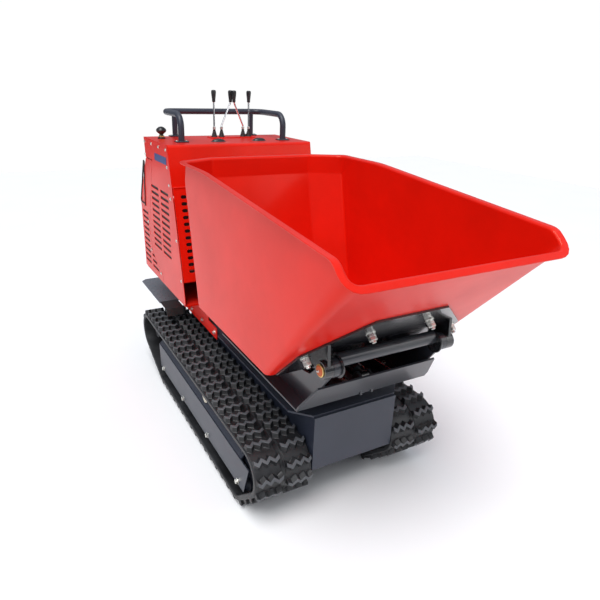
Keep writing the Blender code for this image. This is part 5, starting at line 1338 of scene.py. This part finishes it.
def make_platform(settings):
    """The operator's step with its chequer pattern, edge and arms."""
    low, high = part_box("platform")
    plate_bottom = high.z - settings.plate
    half = high.x
    cut = 0.030
    outline = [(-half, low.y), (half, low.y), (half, high.y - cut), (half - cut, high.y), (-half + cut, high.y),
               (-half, high.y - cut)]
    parts = [prism("step_plate", outline, settings.plate, Matrix.Translation((0, 0, (high.z + plate_bottom) / 2)),
                   "chequer", 0.0010)]
    for k, x in enumerate((-0.150, 0.110)):
        parts.append(slab(f"step_arm_{k}", (x, low.y + 0.002, low.z), (x + 0.040, high.y - 0.060, plate_bottom + 0.001),
                          "blue_grey", 0.0012))
    parts.append(slab("step_edge", (-half + cut, high.y - 0.005, plate_bottom - 0.030), (half - cut, high.y,
                                                                                        plate_bottom + 0.001),
                      "chequer", 0.0010))
    grid = from_lists("chequer_pattern", [(0, 0, 0)])
    bar = tread_bar()
    grow(grid, chequer_tree(), Bar=bar, Width=2 * half - 0.040, Depth=high.y - low.y - 0.040, Pitch=settings.pitch,
         Material=finish("chequer"))
    bpy.data.objects.remove(bar, do_unlink=True)
    grid.data.transform(Matrix.Translation((0, (low.y + high.y) / 2, high.z - 0.0002 - 0.0012)))
    parts[0].data.transform(Matrix.Translation((0, 0, -0.0012)))
    parts.append(smooth(grid, 30))
    settle(join("operator_step", parts), "chassis", ["platform"])


# ---- stage --------------------------------------------------------------------------------
def camera_matrix(yaw, pitch, roll):
    """Columns right, up and back of a camera turned by yaw from +Y, tipped down and rolled."""
    ahead = Vector((math.sin(yaw) * math.cos(pitch), math.cos(yaw) * math.cos(pitch), -math.sin(pitch)))
    right = Vector((math.cos(yaw), -math.sin(yaw), 0))
    above = right.cross(ahead)
    side = right * math.cos(roll) + above * math.sin(roll)
    over = above * math.cos(roll) - right * math.sin(roll)
    return Matrix((side, over, -ahead)).transposed().to_4x4()


def area_light(name, place, target, size, power, colour=(1, 1, 1)):
    light = bpy.data.lights.new(name, "AREA")
    light.shape = "RECTANGLE"
    light.size, light.size_y = size
    light.energy = power
    light.color = colour
    obj = bpy.data.objects.new(name, light)
    obj.location = place
    obj.rotation_euler = (Vector(target) - Vector(place)).to_track_quat("-Z", "Y").to_euler()
    bpy.context.scene.collection.objects.link(obj)


def make_stage(settings):
    """The pale floor, the soft light and the camera."""
    scene = bpy.context.scene
    scene.view_settings.view_transform = "Standard"
    data = bpy.data.cameras.new("camera")
    data.lens = settings.lens
    data.sensor_width = 36.0
    data.shift_x, data.shift_y = settings.shift_x, settings.shift_y
    camera = bpy.data.objects.new("camera", data)
    turn = camera_matrix(settings.yaw, settings.pitch, settings.roll)
    camera.matrix_world = Matrix.Translation((-1.1722, -2.2043, 1.694)) @ turn
    scene.collection.objects.link(camera)
    scene.camera = camera
    floor = from_lists("floor", [(-9, -9, 0), (9, -9, 0), (9, 9, 0), (-9, 9, 0)], [(0, 1, 2, 3)])
    material = bpy.data.materials.new("dumper_floor")
    material.use_nodes = True
    tree = material.node_tree
    shader = tree.nodes["Principled BSDF"]
    where = add(tree, "ShaderNodeTexCoord").outputs["Object"]
    cloud = noise(tree, where, 1.5, 4.0)
    tone = mix_colour(tree, cloud, (0.90, 0.90, 0.90, 1), (0.94, 0.94, 0.94, 1))
    tree.links.new(tone, shader.inputs["Base Color"])
    shader.inputs["Roughness"].default_value = 0.9
    floor.data.materials.append(material)
    world = bpy.data.worlds.new("studio")
    scene.world = world
    world.use_nodes = True
    tree = world.node_tree
    seen = add(tree, "ShaderNodeLightPath").outputs["Is Camera Ray"]
    rise = add(tree, "ShaderNodeSeparateXYZ", {0: add(tree, "ShaderNodeTexCoord").outputs["Generated"]}).outputs[2]
    sky = mix_colour(tree, ramp(tree, rise, -0.2, 1.0), (0.16, 0.16, 0.17, 1), (0.80, 0.85, 0.95, 1))
    tone = mix_colour(tree, seen, sky, (1.4, 1.4, 1.4, 1))
    tree.links.new(tone, tree.nodes["Background"].inputs["Color"])
    tree.nodes["Background"].inputs["Strength"].default_value = settings.sky
    sun = bpy.data.lights.new("sun", "SUN")
    sun.energy = settings.sun
    sun.angle = math.radians(35)
    lamp = bpy.data.objects.new("sun", sun)
    lamp.rotation_euler = Vector((0.35, 0.30, -1.0)).to_track_quat("-Z", "Y").to_euler()
    scene.collection.objects.link(lamp)
    area_light("key", (-3.4, -2.6, 3.4), (0, -0.2, 0.8), (2.4, 2.4), settings.key)
    area_light("fill", (2.6, -3.0, 2.2), (0, 0, 0.8), (2.0, 2.0), settings.key * 0.5)


# ---- settings -----------------------------------------------------------------------------
def length(name, description, default):
    return FloatProperty(name=name, description=description, default=default, unit="LENGTH", subtype="DISTANCE")


class DumperSkipSettings(bpy.types.PropertyGroup):
    sheet: length("Sheet", "Thickness of the skip's steel", 0.005)
    flange: length("Flange", "Width of the flange round the rim", 0.025)
    bend: length("Bend", "Outside radius of the bend under the flange", 0.006)
    band: length("Band", "Height of the upright band of the rear wall", 0.090)
    corner_depth: length("Corner depth", "How far the rear corners stand in front of the rear wall", 0.078)
    middle_width: length("Middle width", "Width of the middle face of the rear wall", 0.520)
    rear_slope: FloatProperty(name="Rear slope", description="Lean of the rear wall, length per height", default=0.24)
    lip_y: length("Lip", "Place of the front lip", -1.182)
    lip_z: length("Lip height", "Height of the front lip", 1.2236)
    cheek_y: length("Cheek", "Place where the side rim turns down to the lip", -1.121)
    cheek_z: length("Cheek height", "Height where the side rim turns down to the lip", 1.280)
    front_radius: length("Front fold", "Reach of the rounded fold at the foot of the front corners", 0.026)
    lip_radius: length("Lip corner", "Reach of the rounded corner of the lip", 0.042)


class DumperTrackSettings(bpy.types.PropertyGroup):
    width: length("Width", "Width of the belt", 0.254)
    thickness: length("Thickness", "Thickness of the belt without its bars", 0.022)
    lug_height: length("Bar height", "Height of a tread bar", 0.022)
    lug_length: length("Bar length", "Length of a tread bar across the belt", 0.114)
    lug_top: length("Bar top", "Width of a tread bar at its top", 0.014)
    lug_foot: length("Bar foot", "Width of a tread bar at its foot", 0.026)
    column: length("Column", "Middle of a column of bars from the middle of the belt", 0.0655)
    seat: length("Seat", "Gap between a wheel and the belt's inside", 0.0015)
    roller_tip: length("Roller reach", "Radius of a bottom roller with its belt and bar", 0.098)
    ease: length("Ease", "Height kept under the bars, whose zigzag tips swing lower on a bend", 0.0018)
    front_roller: length("Front roller", "Place of the first bottom roller", -0.507)
    rear_roller: length("Rear roller", "Place of the last bottom roller", 0.576)
    tread_pitch: length("Tread pitch", "Distance between bars of one column", 0.072)


class DumperHousingSettings(bpy.types.PropertyGroup):
    sheet: length("Sheet", "Thickness of the housing's panels", 0.003)
    foot: length("Foot", "Height of the panels' lower edge", 0.625)
    top: length("Top", "Height of the hood", 1.397)
    front_top: length("Front top", "Place of the front at the hood's height", 0.421)
    front_slope: FloatProperty(name="Front slope", description="Lean of the front, length per height", default=0.244)
    top_rear: length("Hood rear", "Place of the hood's rear edge", 0.851)
    rear_top: length("Console foot", "Place where the console meets the service door", 1.008)
    rear_top_z: length("Console foot height", "Height where the console meets the service door", 1.030)
    rear_foot: length("Rear foot", "Place of the housing's lower rear edge", 0.987)
    crown: length("Crown", "Radius of the hood's front edge", 0.020)
    seam: length("Seam", "Gap between neighbouring panels", 0.003)
    proud: length("Grille step", "How far the grille stands in front of the hood", 0.008)
    slot_length: length("Slot length", "Length of a louvre slot", 0.140)
    slot_height: length("Slot height", "Height of a louvre slot", 0.015)
    slot_pitch: length("Slot pitch", "Height between louvre slots", 0.033)
    slot_top: length("Slot top", "Height of the first louvre slots", 1.150)
    slot_c_top: length("Rear slot top", "Height of the first rear louvre slot", 0.968)
    column_a: length("Front column", "Middle of the front column of slots", 0.510)
    column_b: length("Middle column", "Middle of the middle column of slots", 0.686)
    column_c: length("Rear column", "Middle of the rear column of slots", 0.918)
    rows: IntProperty(name="Rows", description="Rows of slots in the front panel", default=11, min=1, max=20)
    rows_c: IntProperty(name="Rear rows", description="Rows of slots in the rear panel", default=10, min=1, max=20)
    hole_width: length("Hole width", "Width of a hole in the grille", 0.029)
    hole_height: length("Hole height", "Height of a hole in the grille", 0.017)
    hole_pitch: length("Hole pitch", "Height between holes in the grille", 0.0335)
    hole_reach: length("Hole reach", "Outermost column of holes from the middle", 0.350)
    hole_columns: IntProperty(name="Hole columns", description="Columns of holes in the grille", default=16, min=2)
    hole_rows: IntProperty(name="Hole rows", description="Rows of holes in the grille", default=12, min=1)
    door_half: length("Door half width", "Half the width of the service door", 0.390)


class DumperControlSettings(bpy.types.PropertyGroup):
    rail_radius: length("Rail radius", "Radius of the guard rail's tube", 0.016)
    rail_bend: length("Rail bend", "Radius of the guard rail's bends", 0.060)
    rail_front: length("Rail front", "Place of the guard rail's front feet", 0.535)
    grip: length("Grip", "Length of a lever's grip", 0.062)


class DumperHardwareSettings(bpy.types.PropertyGroup):
    bolt: length("Bolt", "Thread diameter of the usual bolt", 0.010)
    front_roller: length("Front roller", "Place of the first bottom roller", -0.507)
    rear_roller: length("Rear roller", "Place of the last bottom roller", 0.576)


class DumperSwivelSettings(bpy.types.PropertyGroup):
    hose: length("Hose", "Outside radius of a hose", 0.0085)


class DumperStepSettings(bpy.types.PropertyGroup):
    plate: length("Plate", "Thickness of the step's plate", 0.006)
    pitch: length("Pitch", "Distance between the raised bars", 0.026)


class DumperStageSettings(bpy.types.PropertyGroup):
    lens: FloatProperty(name="Lens", description="Focal length in millimetres", default=32.17)
    yaw: FloatProperty(name="Yaw", description="Turn of the camera", default=math.radians(29.227), subtype="ANGLE")
    pitch: FloatProperty(name="Pitch", description="Tip of the camera", default=math.radians(22.208), subtype="ANGLE")
    roll: FloatProperty(name="Roll", description="Roll of the camera", default=math.radians(1.918), subtype="ANGLE")
    shift_x: FloatProperty(name="Shift X", description="Sideways shift of the lens", default=0.0199)
    shift_y: FloatProperty(name="Shift Y", description="Upward shift of the lens", default=0.0026)
    sky: FloatProperty(name="Sky", description="Strength of the soft light all round", default=0.72)
    sun: FloatProperty(name="Sun", description="Strength of the soft sun", default=2.2)
    key: FloatProperty(name="Key", description="Power of the main light", default=45.0, unit="POWER")


# ---- operators ----------------------------------------------------------------------------
class DUMPER_OT_frame(bpy.types.Operator):
    """Gives every CAD node its painted, rubber or metal surface"""
    bl_idname = "dumper.frame"
    bl_label = "Surface of the frame"

    def execute(self, context):
        slots = {row["node"]: row["material_slot"] for row in frame["record"]["subparts"]}
        names = {"red_paint": "red", "blue_grey_paint": "blue_grey", "black_paint": "black", "track_rubber": "rubber",
                 "flap_rubber": "soft_rubber", "dark_iron": "iron", "lever_plastic": "plastic", "chrome_rod": "chrome",
                 "zinc_pin": "zinc", "platform_plate": "chequer"}
        for node, obj in frame["nodes"].items():
            obj.data.materials.clear()
            # The swivel frame takes the darker copy of the blue-grey paint, which is painted shade.
            obj.data.materials.append(finish("tray" if node == "swivel_frame" else names[slots[node]]))
        return {"FINISHED"}


class DUMPER_OT_skip(bpy.types.Operator):
    """Builds the folded skip with its rim"""
    bl_idname = "dumper.skip"
    bl_label = "Skip"

    def execute(self, context):
        make_skip(context.scene.dumper_skip)
        return {"FINISHED"}


class DUMPER_OT_tracks(bpy.types.Operator):
    """Builds both rubber tracks with their tread"""
    bl_idname = "dumper.tracks"
    bl_label = "Tracks"

    def execute(self, context):
        make_tracks(context.scene.dumper_tracks)
        return {"FINISHED"}


class DUMPER_OT_housing(bpy.types.Operator):
    """Builds the panels, grille, door and console of the engine housing"""
    bl_idname = "dumper.housing"
    bl_label = "Housing"

    def execute(self, context):
        make_housing(context.scene.dumper_housing)
        return {"FINISHED"}


class DUMPER_OT_controls(bpy.types.Operator):
    """Builds the guard rail, the hand levers and the fittings on the hood"""
    bl_idname = "dumper.controls"
    bl_label = "Controls"

    def execute(self, context):
        make_controls(context.scene.dumper_controls)
        return {"FINISHED"}


class DUMPER_OT_hardware(bpy.types.Operator):
    """Places the bolts and the visible parts of the hinges"""
    bl_idname = "dumper.hardware"
    bl_label = "Hardware"

    def execute(self, context):
        make_hardware(context.scene.dumper_hardware)
        return {"FINISHED"}


class DUMPER_OT_swivel(bpy.types.Operator):
    """Fits ribs, hoses and bolts in the turning tray"""
    bl_idname = "dumper.swivel"
    bl_label = "Swivel frame"

    def execute(self, context):
        make_swivel(context.scene.dumper_swivel)
        return {"FINISHED"}


class DUMPER_OT_step(bpy.types.Operator):
    """Builds the operator's step with its chequer pattern"""
    bl_idname = "dumper.step"
    bl_label = "Step"

    def execute(self, context):
        make_platform(context.scene.dumper_step)
        return {"FINISHED"}


class DUMPER_OT_stage(bpy.types.Operator):
    """Sets up the floor, the lights and the camera"""
    bl_idname = "dumper.stage"
    bl_label = "Stage"

    def execute(self, context):
        make_stage(context.scene.dumper_stage)
        return {"FINISHED"}


OPERATORS = (DUMPER_OT_frame, DUMPER_OT_skip, DUMPER_OT_tracks, DUMPER_OT_housing, DUMPER_OT_controls,
             DUMPER_OT_hardware, DUMPER_OT_swivel, DUMPER_OT_step, DUMPER_OT_stage)
SETTINGS = {"dumper_skip": DumperSkipSettings, "dumper_tracks": DumperTrackSettings,
            "dumper_housing": DumperHousingSettings, "dumper_controls": DumperControlSettings,
            "dumper_hardware": DumperHardwareSettings, "dumper_swivel": DumperSwivelSettings,
            "dumper_step": DumperStepSettings, "dumper_stage": DumperStageSettings}


class DUMPER_PT_panel(bpy.types.Panel):
    bl_idname = "DUMPER_PT_panel"
    bl_label = "Tracked swivel dumper"
    bl_space_type = "VIEW_3D"
    bl_region_type = "UI"
    bl_category = "Dumper"

    def draw(self, context):
        for made in OPERATORS:
            self.layout.operator(made.bl_idname)
        for name, group in SETTINGS.items():
            box = self.layout.box()
            for key in group.__annotations__:
                box.prop(getattr(context.scene, name), key)


def register():
    for made in (*SETTINGS.values(), *OPERATORS, DUMPER_PT_panel):
        bpy.utils.register_class(made)
    for name, group in SETTINGS.items():
        setattr(bpy.types.Scene, name, PointerProperty(type=group))


def unregister():
    for name in SETTINGS:
        delattr(bpy.types.Scene, name)
    for made in reversed((*SETTINGS.values(), *OPERATORS, DUMPER_PT_panel)):
        bpy.utils.unregister_class(made)


def main():
    register()
    for made in OPERATORS:
        area, call = made.bl_idname.split(".")
        getattr(getattr(bpy.ops, area), call)()


if __name__ == "__main__":
    main()
